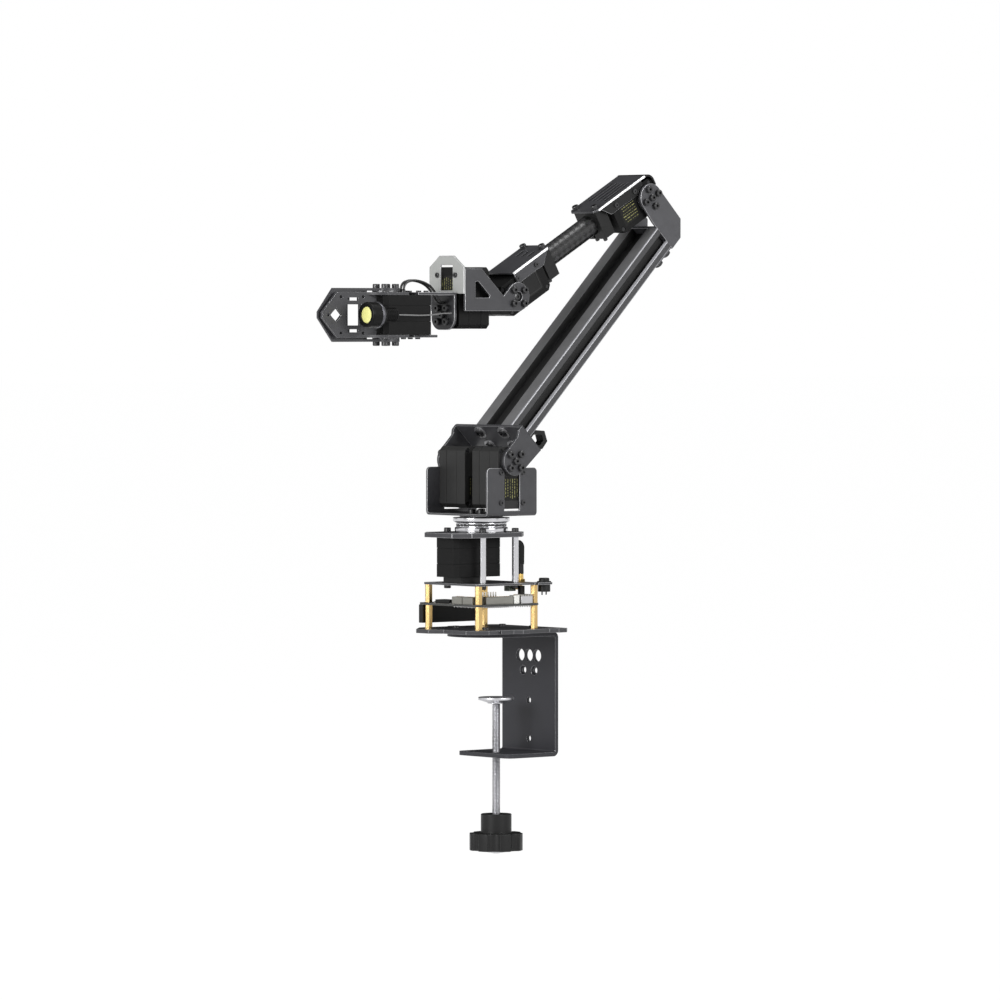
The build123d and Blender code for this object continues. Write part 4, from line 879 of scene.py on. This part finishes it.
# %% Seams, labels and corner screws
work = bmesh.new()
outline_block(work, seam_depth, case_layers[0][1] - 1, case_layers[2][0] + 1, 5)
bars = random.Random(5)
bar_lengths, bar_gap, bar_start = (0.8, 1.2, 2.0, 3.0), 0.9, 1.6
row_count, row_start, row_step = 7, 2.0, 2.2
for side in (-1, 1):
    face = side * (14.5 - label_depth)
    thin = sorted((face - side * 0.1, face + side * 0.06))
    outline_block(work, 0.15, *thin, 2, 0, (*label_x, -label_y, label_y))
    for row in range(row_count):
        y = -label_y + row_start + row * row_step
        x = label_x[0] + bar_start
        while x < label_x[1] - 3.0:
            length = bars.choice(bar_lengths)
            end = min(x + length, label_x[1] - 1.4)
            bar = sorted((face, face + side * 0.1))
            outline_block(work, 0, *bar, 3, 0, (x, end, y, y + (0.6 if row % 3 else 0.3)))
            x = end + bar_gap
    for x in corner_x:
        for y in (-corner_y, corner_y):
            floor_level = side * (14.5 - pocket_depth)
            span = sorted((floor_level - side * 0.1, floor_level + side * 0.55))
            drum(work, x, y, *span, 1.5, 14, 4)
details = mesh_of(work, "case_details", (), MM)
work = bmesh.new()
work.from_mesh(case_mesh)
work.from_mesh(details)
case_mesh = bpy.data.meshes.new("motor_case")
work.to_mesh(case_mesh)
work.free()
for material in case_materials:
    case_mesh.materials.append(finishes[material])
print("whole case:", len(case_mesh.polygons), "faces")

# %% Stand a case on each motor's shaft
servo_shafts = {
    "base_servo": ("base_yaw", (0, 0, 1)),
    "shoulder_servo_left": ("shoulder_pitch", (0, -1, 0)),
    "shoulder_servo_right": ("shoulder_pitch", (0, -1, 0)),
    "elbow_servo": ("elbow_pitch", (0, -1, 0)),
    "wrist_servo": ("wrist_pitch", (0, -1, 0)),
    "roll_servo": ("wrist_roll", (-1, 0, 0)),
    "gripper_servo": ("gripper_open", (0, 0, 1)),
}
case_half = case_layers[2][1]
print_slot = case_materials.index("label_print")
panel_span = (12.6, 27.4, -7.4, 7.4)
panel_bar, panel_rise = 1.0, 0.25


def panel_mesh():
    """The framed square on both broad faces of the one motor that has no label."""
    work = bmesh.new()
    x0, x1, y0, y1 = panel_span
    inner_y0, inner_y1 = y0 + panel_bar, y1 - panel_bar
    bars = ((x0, x1, y0, inner_y0), (x0, x1, inner_y1, y1),
            (x0, x0 + panel_bar, inner_y0, inner_y1), (x1 - panel_bar, x1, inner_y0, inner_y1))
    for side in (-1, 1):
        level = side * (case_half - label_depth)
        outline_block(work, panel_bar, *sorted((level, level + side * 0.1)), 0, 0, panel_span)
        for bar in bars:
            outline_block(work, 0, *sorted((level, level + side * panel_rise)), 1, 0, bar)
    return mesh_of(work, "panel", ("chip", "servo_satin_and_painted_light"), MM)


for node, (joint, way) in servo_shafts.items():
    corners = [vert.co for vert in nodes[node].data.vertices]
    shaft = joint_at[joint]
    up = Vector(way)
    middle_height = min((corner - shaft).dot(up) for corner in corners) + case_half * MM
    middle = sum(corners, Vector()) / len(corners)
    out = middle - shaft
    out = (out - up * out.dot(up)).normalized()
    across = up.cross(out)
    turn = Matrix((out, across, up)).transposed().to_4x4()
    place = Matrix.Translation(shaft + up * middle_height) @ turn
    mesh = case_mesh.copy()
    if node == "wrist_servo":
        plain = bmesh.new()
        plain.from_mesh(mesh)
        printed = [face for face in plain.faces if face.material_index == print_slot]
        bmesh.ops.delete(plain, geom=printed, context="FACES")
        plain.to_mesh(mesh)
        plain.free()
        panel = panel_mesh()
        panel.transform(place)
        make_object(node + "_panel", panel, body_of_node[node])
    # The two shoulder motors take a lighter copy of the case's finish as painted light.
    if node.startswith("shoulder"):
        mesh.materials[0] = mesh.materials[1] = finishes["servo_satin_and_painted_light"]
    mesh.transform(place)
    piece = make_object(node + "_case", mesh, body_of_node[node])
    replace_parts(piece, node)
    print(node, "shaft", [round(v, 4) for v in shaft + up * middle_height], "out", [round(v, 3) for v in out])

# %% The socket that the two leads come from
socket_x, socket_y, socket_z = (38.2, 43.0), (-4.5, 4.5), (14.5, 17.7)
work = bmesh.new()
outline_block(work, 0, *socket_z, 0, 0, (*socket_x, *socket_y))
for side in (-1, 1):
    drum(work, sum(socket_x) / 2, side * lead_side_step, socket_z[1] - 0.4, socket_z[1] + 1.0, 1.25, 16, 1)
mesh = mesh_of(work, "lead_socket", ("black_plastic", "lead"))
mesh.transform(Matrix.Translation(grip_origin))
mesh.transform(Matrix.Scale(MM, 4))
mesh = rounded("lead_socket", mesh, 0.25 * MM, edge_slot=0)
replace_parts(make_object("lead_socket", mesh, "gripper"), "gripper_servo")
print("lead socket", len(mesh.polygons), "faces")

# %% [markdown]
# ## The clamp screw's thread
# A zinc-plated bar with a one-millimetre thread presses the pad against the table from below. A thread is
# one ridge that winds up the bar. We walk up a helix in small steps and set down a crest and a root point
# at each, and join each step to the step one turn above. That gives a true thread with few faces, where
# stacked rings would only look like one from afar. The ends are closed with short plain tips.

# %% Wind the thread
thread_radius = 3.0 * MM
thread_root = 2.62 * MM
thread_pitch = 1.0 * MM
thread_steps = 20
screw_low, screw_high = box_of("clamp_screw")
screw_x, screw_y = (screw_low.x + screw_high.x) / 2, (screw_low.y + screw_high.y) / 2
tip = 1.6 * MM
turns = int((screw_high.z - screw_low.z - 2 * tip) / thread_pitch)

work = bmesh.new()
crest, root = [], []
for n in range(turns * thread_steps + 1):
    angle = 2 * math.pi * n / thread_steps
    height = screw_low.z + tip + thread_pitch * n / thread_steps
    for line, radius, lift in ((crest, thread_radius, 0.0), (root, thread_root, thread_pitch / 2)):
        line.append(work.verts.new((screw_x + radius * math.cos(angle), screw_y + radius * math.sin(angle),
                                    height + lift)))
for n in range(len(crest) - 1):
    work.faces.new((crest[n], crest[n + 1], root[n + 1], root[n]))
    if n + thread_steps < len(crest) - 1:
        work.faces.new((root[n], root[n + 1], crest[n + thread_steps + 1], crest[n + thread_steps]))
drum(work, screw_x, screw_y, screw_low.z, screw_low.z + tip + thread_pitch, thread_root + 0.1 * MM, 20)
drum(work, screw_x, screw_y, screw_high.z - tip - 0.5 * thread_pitch, screw_high.z, thread_root + 0.1 * MM, 20)
mesh = mesh_of(work, "thread", ("zinc",))
mesh.shade_smooth()
mesh.set_sharp_from_angle(angle=math.radians(50))
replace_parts(make_object("clamp_thread", mesh, "screw"), "clamp_screw")
print(turns, "turns,", len(mesh.polygons), "faces")

# %% [markdown]
# ## The star knob
# The knob is turned by hand, so its moulding has no sharp edge anywhere. It is a rounded copy of the CAD,
# with a far wider rounding than the sheets have. A shallow metal cap closes it below, drawn as rings that
# shrink along a curve.

# %% Round the knob
dress("clamp_knob", width=0.9 * MM, edge="black_plastic")

# %% The shallow metal cap under it
cap_radius, cap_rise, cap_sides = 9.5 * MM, 2.0 * MM, 36
cap_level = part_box("clamp_knob")[0][2]
work = bmesh.new()
cap_rings = []
for share in (1.0, 0.94, 0.8, 0.6, 0.35):
    drop = cap_rise * math.sqrt(1 - share ** 2)
    cap_rings.append([work.verts.new((screw_x + cap_radius * share * math.cos(a),
                                      screw_y + cap_radius * share * math.sin(a), cap_level - drop))
                      for a in turns_of(cap_sides)])
for outer, inner in zip(cap_rings, cap_rings[1:]):
    for n in range(cap_sides):
        m = (n + 1) % cap_sides
        work.faces.new((outer[n], outer[m], inner[m], inner[n]))
work.faces.new(cap_rings[-1])
work.faces.new(cap_rings[0])
mesh = mesh_of(work, "cap", ("zinc",))
mesh.shade_smooth()
mesh.set_sharp_from_angle(angle=edge_angle)
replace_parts(make_object("knob_cap", mesh, body_of_node["clamp_screw"]), "clamp_screw")
print("cap", round(2 * cap_radius / MM, 1), "mm wide")

# %% [markdown]
# ## Balls in the thrust bearing
# Between the two polished washers of the turntable runs a ring of steel balls in a thin cage. From the side
# the balls show as a wavy chrome band. The ring is a rule, so Geometry Nodes makes it: a circle of points
# with a ball on each. The balls have few faces, because there are many and each is three millimetres wide.

# %% Ring of balls
ball_count = 26
cage_low, cage_high = box_of("bearing_cage")
cage_middle = (cage_low + cage_high) / 2
ball_radius = (cage_high.z - cage_low.z) / 2
ball_circle = (cage_high.x - cage_low.x) / 2 - ball_radius


def ball_ring_tree(material):
    """Balls on a circle about the tree's origin."""
    tree, source, target = start_tree("ball_ring", {"Balls": 12, "Circle": 0.01, "Ball": 0.001})
    circle = step(tree, "GeometryNodeMeshCircle", {"Vertices": source.outputs["Balls"],
                                                   "Radius": source.outputs["Circle"]})
    ball = step(tree, "GeometryNodeMeshUVSphere", {
        "Segments": 14, "Rings": 9, "Radius": source.outputs["Ball"]})
    copies = step(tree, "GeometryNodeInstanceOnPoints", {"Points": circle.outputs["Mesh"],
                                                         "Instance": ball.outputs["Mesh"]})
    real = step(tree, "GeometryNodeRealizeInstances", {"Geometry": copies.outputs["Instances"]})
    end = step(tree, "GeometryNodeSetMaterial", {"Geometry": real.outputs["Geometry"], "Material": material})
    tree.links.new(end.outputs["Geometry"], target.inputs["Geometry"])
    return tree


mesh = run_tree(ball_ring_tree(finishes["steel"]), bpy.data.meshes.new("empty"),
                {"Balls": ball_count, "Circle": ball_circle, "Ball": ball_radius})
mesh.transform(Matrix.Translation(cage_middle))
mesh.shade_smooth()
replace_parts(make_object("bearing_balls", mesh, "base"), "bearing_cage")
work = bmesh.new()
cage_thin = 0.5 * MM
band = [work.verts.new((cage_middle.x + r * math.cos(a), cage_middle.y + r * math.sin(a), cage_middle.z + z))
        for a in turns_of(2 * ball_count)
        for r, z in ((ball_circle - ball_radius, -cage_thin), (ball_circle + ball_radius, -cage_thin),
                     (ball_circle + ball_radius, cage_thin), (ball_circle - ball_radius, cage_thin))]
for n in range(0, len(band), 4):
    for k in range(4):
        m = (n + 4) % len(band)
        work.faces.new((band[n + k], band[m + k], band[m + (k + 1) % 4], band[n + (k + 1) % 4]))
mesh = mesh_of(work, "cage_band", ("screw_black",))
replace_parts(make_object("bearing_cage_band", mesh, "base"), "bearing_cage")
print(ball_count, "balls of radius", round(ball_radius / MM, 2), "mm, circle", round(ball_circle / MM, 1))

# %% [markdown]
# ## The carbon tube
# The forearm's tube is wound from carbon cloth, and under its clear resin the crossing bundles of fibre
# shine in turn as the tube is turned. The pattern follows the surface, so the tube gets its own UV map, one
# unit for each millimetre along and around. In the material, two sets of diagonal bands set the brightness
# and the gloss of small diamonds, and a clear coat lies over them.

# %% The tube's own finish
cloth_bundle = 4.2
cloth_dark, cloth_light = (0.007, 0.007, 0.007, 1.0), (0.040, 0.040, 0.041, 1.0)


def woven(name):
    """Twill of carbon bundles under clear resin, on the piece's UV map in millimetres."""
    material = bpy.data.materials.new(name)
    material.use_nodes = True
    tree = material.node_tree
    place = step(tree, "ShaderNodeTexCoord")
    turned = step(tree, "ShaderNodeMapping", {
        "Vector": place.outputs["UV"], "Rotation": (0.0, 0.0, math.radians(45)),
        "Scale": (1 / cloth_bundle, 1 / cloth_bundle, 1.0)})
    weave = step(tree, "ShaderNodeTexChecker", {
        "Vector": turned.outputs["Vector"], "Scale": 1.0, "Color1": cloth_dark, "Color2": cloth_light})
    fibres = step(tree, "ShaderNodeTexNoise", {"Vector": place.outputs["UV"], "Scale": 3.0, "Detail": 3.0})
    blend = step(tree, "ShaderNodeMix", {
        "Factor": 0.8, "A": weave.outputs["Color"], "B": fibres.outputs["Color"]},
                 data_type="RGBA", blend_type="MULTIPLY")
    gloss = step(tree, "ShaderNodeMapRange", {"Value": weave.outputs["Fac"], "To Min": 0.24, "To Max": 0.42})
    bump = step(tree, "ShaderNodeBump", {"Height": weave.outputs["Fac"], "Strength": 0.3, "Distance": 0.00002})
    plug(tree, tree.nodes["Principled BSDF"], {
        "Base Color": blend.outputs["Result"], "Roughness": gloss.outputs[0], "Normal": bump.outputs["Normal"],
        "Coat Weight": 0.15, "Coat Roughness": 0.3, "Specular IOR Level": 0.25})
    return material


# %% Make the tube along the CAD's own axis
tube_outer, tube_inner = 8.0 * MM, 6.5 * MM
corners = [vert.co.copy() for vert in nodes["forearm_tube"].data.vertices]
middle = sum(corners, Vector()) / len(corners)
elbow_at, wrist_at = joint_at["elbow_pitch"], joint_at["wrist_pitch"]
along = (wrist_at - elbow_at).normalized()
reach = [(corner - middle).dot(along) for corner in corners]
tube_start, tube_end = middle + along * min(reach), middle + along * max(reach)
side = Vector((0, 1, 0))
over = along.cross(side)
sides = 48
work = bmesh.new()
sheet = work.loops.layers.uv.new("cloth")
profile = ((tube_outer, tube_start, 0.0), (tube_outer, tube_end, (tube_end - tube_start).length / MM),
           (tube_inner, tube_end, 1.5), (tube_inner, tube_start, 1.5))
rings = [[work.verts.new(end + (side * math.cos(a) + over * math.sin(a)) * radius)
          for a in turns_of(sides)] for radius, end, run in profile]
for k in range(4):
    for n in range(sides):
        m = (n + 1) % sides
        face = work.faces.new((rings[k][n], rings[k][m], rings[(k + 1) % 4][m], rings[(k + 1) % 4][n]))
        girth = 2 * math.pi * tube_outer / MM / sides
        ends = ((n, profile[k][2]), (n + 1, profile[k][2]), (n + 1, profile[(k + 1) % 4][2]),
                (n, profile[(k + 1) % 4][2]))
        for loop, (step_round, run) in zip(face.loops, ends):
            loop[sheet].uv = (run, step_round * girth)
mesh = mesh_of(work, "tube", ())
mesh.materials.append(woven("carbon_cloth"))
mesh.shade_smooth()
mesh.set_sharp_from_angle(angle=edge_angle)
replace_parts(make_object("carbon_tube", mesh, "forearm"), "forearm_tube")
print("tube", round((tube_end - tube_start).length / MM, 1), "mm long,", len(mesh.polygons), "faces")

# %% [markdown]
# ## The control board's parts
# Connectors stand along the board's near edges, and chips and dozens of tiny parts lie between them. The
# CAD holds the larger bodies as blocks. We read each block's box back, and give connectors a black patch of
# painted shade for a mouth, with pins in it, the metal socket its ribs, and chips their rows of legs. The
# tiny parts are scattered with a fixed seed, keeping clear of the blocks, and one Geometry Nodes tree puts a
# small body on each point and another puts on its two bright ends.

# %% Blocks, mouths and legs
tall_part = 5.0 * MM
wall = 1.1 * MM
leg_gap = 1.27 * MM


def spread(low, high, gap):
    """Evenly spaced places between two ends, at most a gap apart."""
    count = max(1, int((high - low) / gap))
    return [low + (high - low) * (n + 0.5) / count for n in range(count)]


def post(x, y, half, low, high):
    """The two corners of a square upright post."""
    return Vector((x - half, y - half, low)), Vector((x + half, y + half, high))


def box_points(boxes):
    """Marked points for upright boxes, each given by its two opposite corners."""
    places = [(low + high) / 2 for low, high in boxes]
    return marked_points(places, [(0, 0, 1)] * len(boxes), [high - low for low, high in boxes])


def boxes_piece(name, boxes, finish_name, body, round_width=0.0):
    """A finished mesh of boxes from one Geometry Nodes tree."""
    tree = plain_tree(name, "GeometryNodeMeshCube", {}, finishes[finish_name])
    mesh = run_tree(tree, box_points(boxes))
    one_finish(mesh, finish_name)
    if round_width:
        mesh = rounded(name, mesh, round_width, edge_slot=0)
    return make_object(name, mesh, body)


bodies_of_parts = []
for corners, faces in solids_of("board_connectors"):
    low = Vector([min(corner[k] for corner in corners) for k in range(3)])
    high = Vector([max(corner[k] for corner in corners) for k in range(3)])
    bodies_of_parts.append((low, high))
metal_socket = max((box for box in bodies_of_parts), key=lambda box: box[1].z)
connectors = [box for box in bodies_of_parts if box[1].z - box[0].z > tall_part and box is not metal_socket]
chips = [box for box in bodies_of_parts if box[1].z - box[0].z <= tall_part]
pale = [min(connectors, key=lambda box: box[1].x - box[0].x)]
grey = [box for box in connectors if box not in pale]
for name, boxes, look in (("connector_bodies", grey, "connector_plastic"),
                          ("pale_connector", pale, "white_plastic")):
    piece = boxes_piece(name, boxes, look, "base", 0.3 * MM)
    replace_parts(piece, "board_connectors")
piece = boxes_piece("chip_bodies", chips, "chip", "base", 0.2 * MM)
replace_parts(piece, "board_connectors")

mouth_shades, pins, legs = [], [], []
for low, high in connectors:
    mouth_shades.append((Vector((low.x + wall, low.y + wall, high.z - 0.1 * MM)),
                   Vector((high.x - wall, high.y - wall, high.z + 0.03 * MM))))
    long_x = high.x - low.x > high.y - low.y
    middle = (low + high) / 2
    reach = (low.x + wall, high.x - wall) if long_x else (low.y + wall, high.y - wall)
    for at in spread(*reach, 2.0 * MM):
        x, y = (at, middle.y) if long_x else (middle.x, at)
        pins.append(post(x, y, 0.3 * MM, high.z - 0.1 * MM, high.z + 0.35 * MM))
for low, high in chips:
    for x in spread(low.x, high.x, leg_gap):
        for y, way in ((low.y, -1), (high.y, 1)):
            ends = sorted((y - way * 0.1 * MM, y + way * 0.8 * MM))
            legs.append((Vector((x - 0.2 * MM, ends[0], low.z)),
                         Vector((x + 0.2 * MM, ends[1], low.z + 0.4 * MM))))
# Black patches on the connectors' tops are painted shade in place of their mouths.
boxes_piece("connector_mouth_shade", mouth_shades, "chip", "base")
boxes_piece("connector_pins", pins, "pin_gold", "base")
boxes_piece("chip_legs", legs, "solder", "base")

low, high = metal_socket
shell = [(low, Vector((high.x, high.y, low.z + 5.4 * MM)))]
ribs = [(Vector((x - 0.35 * MM, low.y + 0.6 * MM, low.z + 5.2 * MM)),
         Vector((x + 0.35 * MM, high.y - 0.2 * MM, high.z - 0.8 * MM)))
        for x in spread(low.x, high.x, 1.5 * MM)]
tower = [(Vector((low.x + 1.9 * MM, low.y, low.z + 5.0 * MM)),
          Vector((low.x + 6.1 * MM, low.y + 3.2 * MM, low.z + 12.7 * MM)))]
deck_plug = [(Vector((-18.4, 12.3, 33.4)) * MM, Vector((-11.4, 17.7, 38.2)) * MM)]
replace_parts(boxes_piece("metal_socket", shell, "solder", "base", 0.35 * MM), "board_connectors")
boxes_piece("metal_socket_ribs", ribs, "pin_metal", "base")
boxes_piece("socket_tower", tower, "black_plastic", "base", 0.3 * MM)
boxes_piece("deck_plug", deck_plug, "deck_plug", "base", 0.4 * MM)
print(len(connectors), "connectors,", len(chips), "chips,", len(pins), "pins,", len(legs), "legs")

# %% Tiny parts, standing pins and solder points
board_low, board_high = box_of("control_board")
part_size = Vector((1.6, 0.8, 0.6)) * MM
part_count, part_gap, block_gap = 90, 2.6 * MM, 2 * MM
pin_pitch = 2.54
dice = random.Random(11)
spots = []
while len(spots) < part_count:
    x = dice.uniform(board_low.x + 4 * MM, board_high.x - 3 * MM)
    y = dice.uniform(board_low.y + 6 * MM, board_high.y - 3 * MM)
    clear = all(not (low.x - block_gap < x < high.x + block_gap and low.y - block_gap < y < high.y + block_gap)
                for low, high in bodies_of_parts)
    apart = all((Vector((x, y)) - Vector(spot)).length > part_gap for spot in spots)
    if clear and apart:
        spots.append((x, y))
small, ends = [], []
for x, y in spots:
    size = part_size * dice.choice((0.8, 1.0, 1.4))
    if dice.random() < 0.5:
        size = Vector((size.y, size.x, size.z))
    at = Vector((x, y, board_high.z + size.z / 2))
    small.append((at - size / 2, at + size / 2))
    across = Vector((0.3 * MM, size.y / 2 + 0.05 * MM, size.z / 2 + 0.03 * MM)) if size.x > size.y else \
        Vector((size.x / 2 + 0.05 * MM, 0.3 * MM, size.z / 2 + 0.03 * MM))
    shift = Vector((size.x / 2, 0, 0)) if size.x > size.y else Vector((0, size.y / 2, 0))
    for way in (-1, 1):
        ends.append((at + shift * way - across, at + shift * way + across))
boxes_piece("tiny_parts", small[::2], "chip", "base")
boxes_piece("tiny_capacitors", small[1::2], "chip_tan", "base")
boxes_piece("tiny_part_ends", ends, "solder", "base")

pin_rows = [((2.0 + pin_pitch * n) * MM, y * MM) for n in range(6) for y in (16.2, 18.7)]
standing = [post(x, y, 0.32 * MM, board_high.z, board_high.z + 8.6 * MM) for x, y in pin_rows]
feet = [(Vector((min(x for x, y in pin_rows) - 1.2 * MM, 14.9 * MM, board_high.z)),
         Vector((max(x for x, y in pin_rows) + 1.2 * MM, 20.0 * MM, board_high.z + 2.4 * MM)))]
boxes_piece("standing_pins", standing, "pin_metal", "base")
boxes_piece("standing_pins_foot", feet, "black_plastic", "base", 0.2 * MM)

solder_places = [(x, y, board_low.z) for low, high in connectors + [metal_socket]
                 for x in spread(low.x, high.x, 2.0 * MM) for y in spread(low.y, high.y, 3.4 * MM)]
solder_places += [(x, y, board_low.z) for x, y in pin_rows]
tree = plain_tree("solder_drop", "GeometryNodeMeshUVSphere", {"Segments": 10, "Rings": 6, "Radius": 1.0},
                  finishes["solder"])
mesh = run_tree(tree, marked_points(solder_places, [(0, 0, 1)] * len(solder_places),
                                    [(0.65 * MM, 0.65 * MM, 1.1 * MM)] * len(solder_places)))
mesh.shade_smooth()
make_object("solder_points", mesh, "base")
dress("pin_header", width=0.3 * MM, edge="black_plastic")
header_low, header_high = box_of("pin_header")
# Black squares under the header are painted shade in place of its holes.
hole_shades = [post(x, y, 0.5 * MM, header_low.z - 0.03 * MM, header_low.z + 0.1 * MM)
         for x in spread(header_low.x + MM, header_high.x - MM, pin_pitch * MM)
         for y in (header_low.y + 1.2 * MM, header_high.y - 1.2 * MM)]
boxes_piece("header_hole_shade", hole_shades, "chip", "base")
print(len(spots), "tiny parts,", len(standing), "standing pins,", len(solder_places), "solder points")

# %% [markdown]
# ## The aerial socket and the board
# A gold-plated socket holds the aerial. Its neck is threaded, so thin rings stand on a rounded copy of the
# CAD.

# %% Slim aerial, gold socket with a ringed neck
blade_turn = math.radians(-40.6)
blade_side = Vector((math.cos(blade_turn), math.sin(blade_turn), 0.0))
taper_start, taper_rate, taper_most = 6 * MM, 0.4, 0.30
aerial = dress("antenna", width=0.9 * MM, edge="black_plastic", face="black_plastic")
aerial_low, aerial_high = box_of("antenna")
aerial_middle = (aerial_low + aerial_high) / 2
for vert in aerial.data.vertices:
    share = max(0.0, (vert.co.z - aerial_low.z - taper_start) / (aerial_high.z - aerial_low.z))
    off = (vert.co - aerial_middle).dot(blade_side)
    vert.co -= blade_side * off * min(taper_most, taper_rate * share)
dress("antenna_connector", width=0.2 * MM, edge="pin_gold", face="pin_gold")
dress("control_board", width=0.15 * MM, edge="connector_plastic")
socket_low, socket_high = box_of("antenna_connector")
neck_x, neck_y = (socket_low.x + socket_high.x) / 2, (socket_low.y + socket_high.y) / 2
ring_places = [(neck_x, neck_y, z) for z in spread(aerial_low.z - 3.4 * MM, aerial_low.z - 0.2 * MM, 0.7 * MM)]
mesh = discs("neck_ring", 24, "pin_gold", ring_places, [(0, 0, 1)] * len(ring_places),
             [(3.4 * MM, 3.4 * MM, 0.35 * MM)] * len(ring_places))
make_object("aerial_neck_rings", mesh, "base")
print(len(ring_places), "rings on the neck")

# %% [markdown]
# ## The lamp
# A small lamp is screwed through the fixed jaw's tab: a black barrel with a bright ring at its back, a
# ribbed stem behind the tab, and a yellow lens whose face is cut into small facets. The lens is a shallow
# dome of flat faces, so that each facet catches the light by itself.

# %% Barrel, ribs, ring and lens
lamp_y, lamp_front, lamp_tip = 22.0, 82.0, 93.0
lamp_stem = (66.2, 77.4)
dress("lamp_housing", width=0.45 * MM, edge="lamp_black", face="lamp_black")


def lamp_point(x, y=0.0, z=0.0):
    """A point on the lamp's axis, in metres, from millimetres in front of the roll disc."""
    return (grip_origin + Vector((x, lamp_y + y, z))) * MM


rib_places = [lamp_point(x) for x in spread(*lamp_stem, 1.5)]
mesh = discs("stem_rib", 28, "lamp_black", rib_places, [(1, 0, 0)] * len(rib_places),
             [(5.3 * MM, 5.3 * MM, 0.7 * MM)] * len(rib_places))
one_finish(mesh, "lamp_black")
mesh = rounded("stem_ribs", mesh, 0.12 * MM, edge_slot=0)
make_object("lamp_stem_ribs", mesh, "gripper")
mesh = discs("bright_ring", 48, "ring_metal", [lamp_point(lamp_front + 1.1)], [(1, 0, 0)],
             [(9.6 * MM, 9.6 * MM, 2.2 * MM)])
one_finish(mesh, "ring_metal")
mesh = rounded("bright_ring", mesh, 0.5 * MM, edge_slot=0)
make_object("lamp_back_ring", mesh, "gripper")

lens_radius, lens_rise, facet_rings, facets = 6.0, 0.825, 4, 14
lens_front, lens_back = lamp_tip - 1.0, lamp_tip - 1.5
work = bmesh.new()
top = work.verts.new(lamp_point(lens_front + lens_rise))
rows = []
for k in range(1, facet_rings + 1):
    share = k / facet_rings
    x = lens_front + lens_rise * (1 - share ** 2)
    rows.append([
        work.verts.new(lamp_point(x, lens_radius * share * math.cos(a), lens_radius * share * math.sin(a)))
        for a in turns_of(facets, 0.5 * (k % 2))])
back = [work.verts.new(lamp_point(lens_back, lens_radius * math.cos(a), lens_radius * math.sin(a)))
        for a in turns_of(facets)]
for n in range(facets):
    m = (n + 1) % facets
    work.faces.new((top, rows[0][n], rows[0][m]))
    for k, (inner, outer) in enumerate(zip(rows, rows[1:])):
        if k % 2:
            work.faces.new((inner[n], outer[n], outer[m]))
            work.faces.new((inner[n], outer[m], inner[m]))
        else:
            work.faces.new((inner[n], outer[m], inner[m]))
            work.faces.new((inner[n], outer[n], outer[m]))
    work.faces.new((rows[-1][n], back[n], back[m], rows[-1][m]))
work.faces.new(back)
mesh = mesh_of(work, "lens", ("lens",))
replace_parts(make_object("lamp_lens_facets", mesh, "gripper"), "lamp_lens")
print("lens of", len(mesh.polygons), "facets,", len(rib_places), "ribs")

# %% [markdown]
# ## The last measure
# The CAD model's box and the dressed model's box are printed side by side. The dressed model has to
# be as large as the CAD model.

# %% Print both sizes and finish
low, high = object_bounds()
sizes = {"cad": [list(cad_low), list(cad_high)], "visual": [list(low), list(high)]}
print("CAD box", sizes["cad"], "dressed box", sizes["visual"])
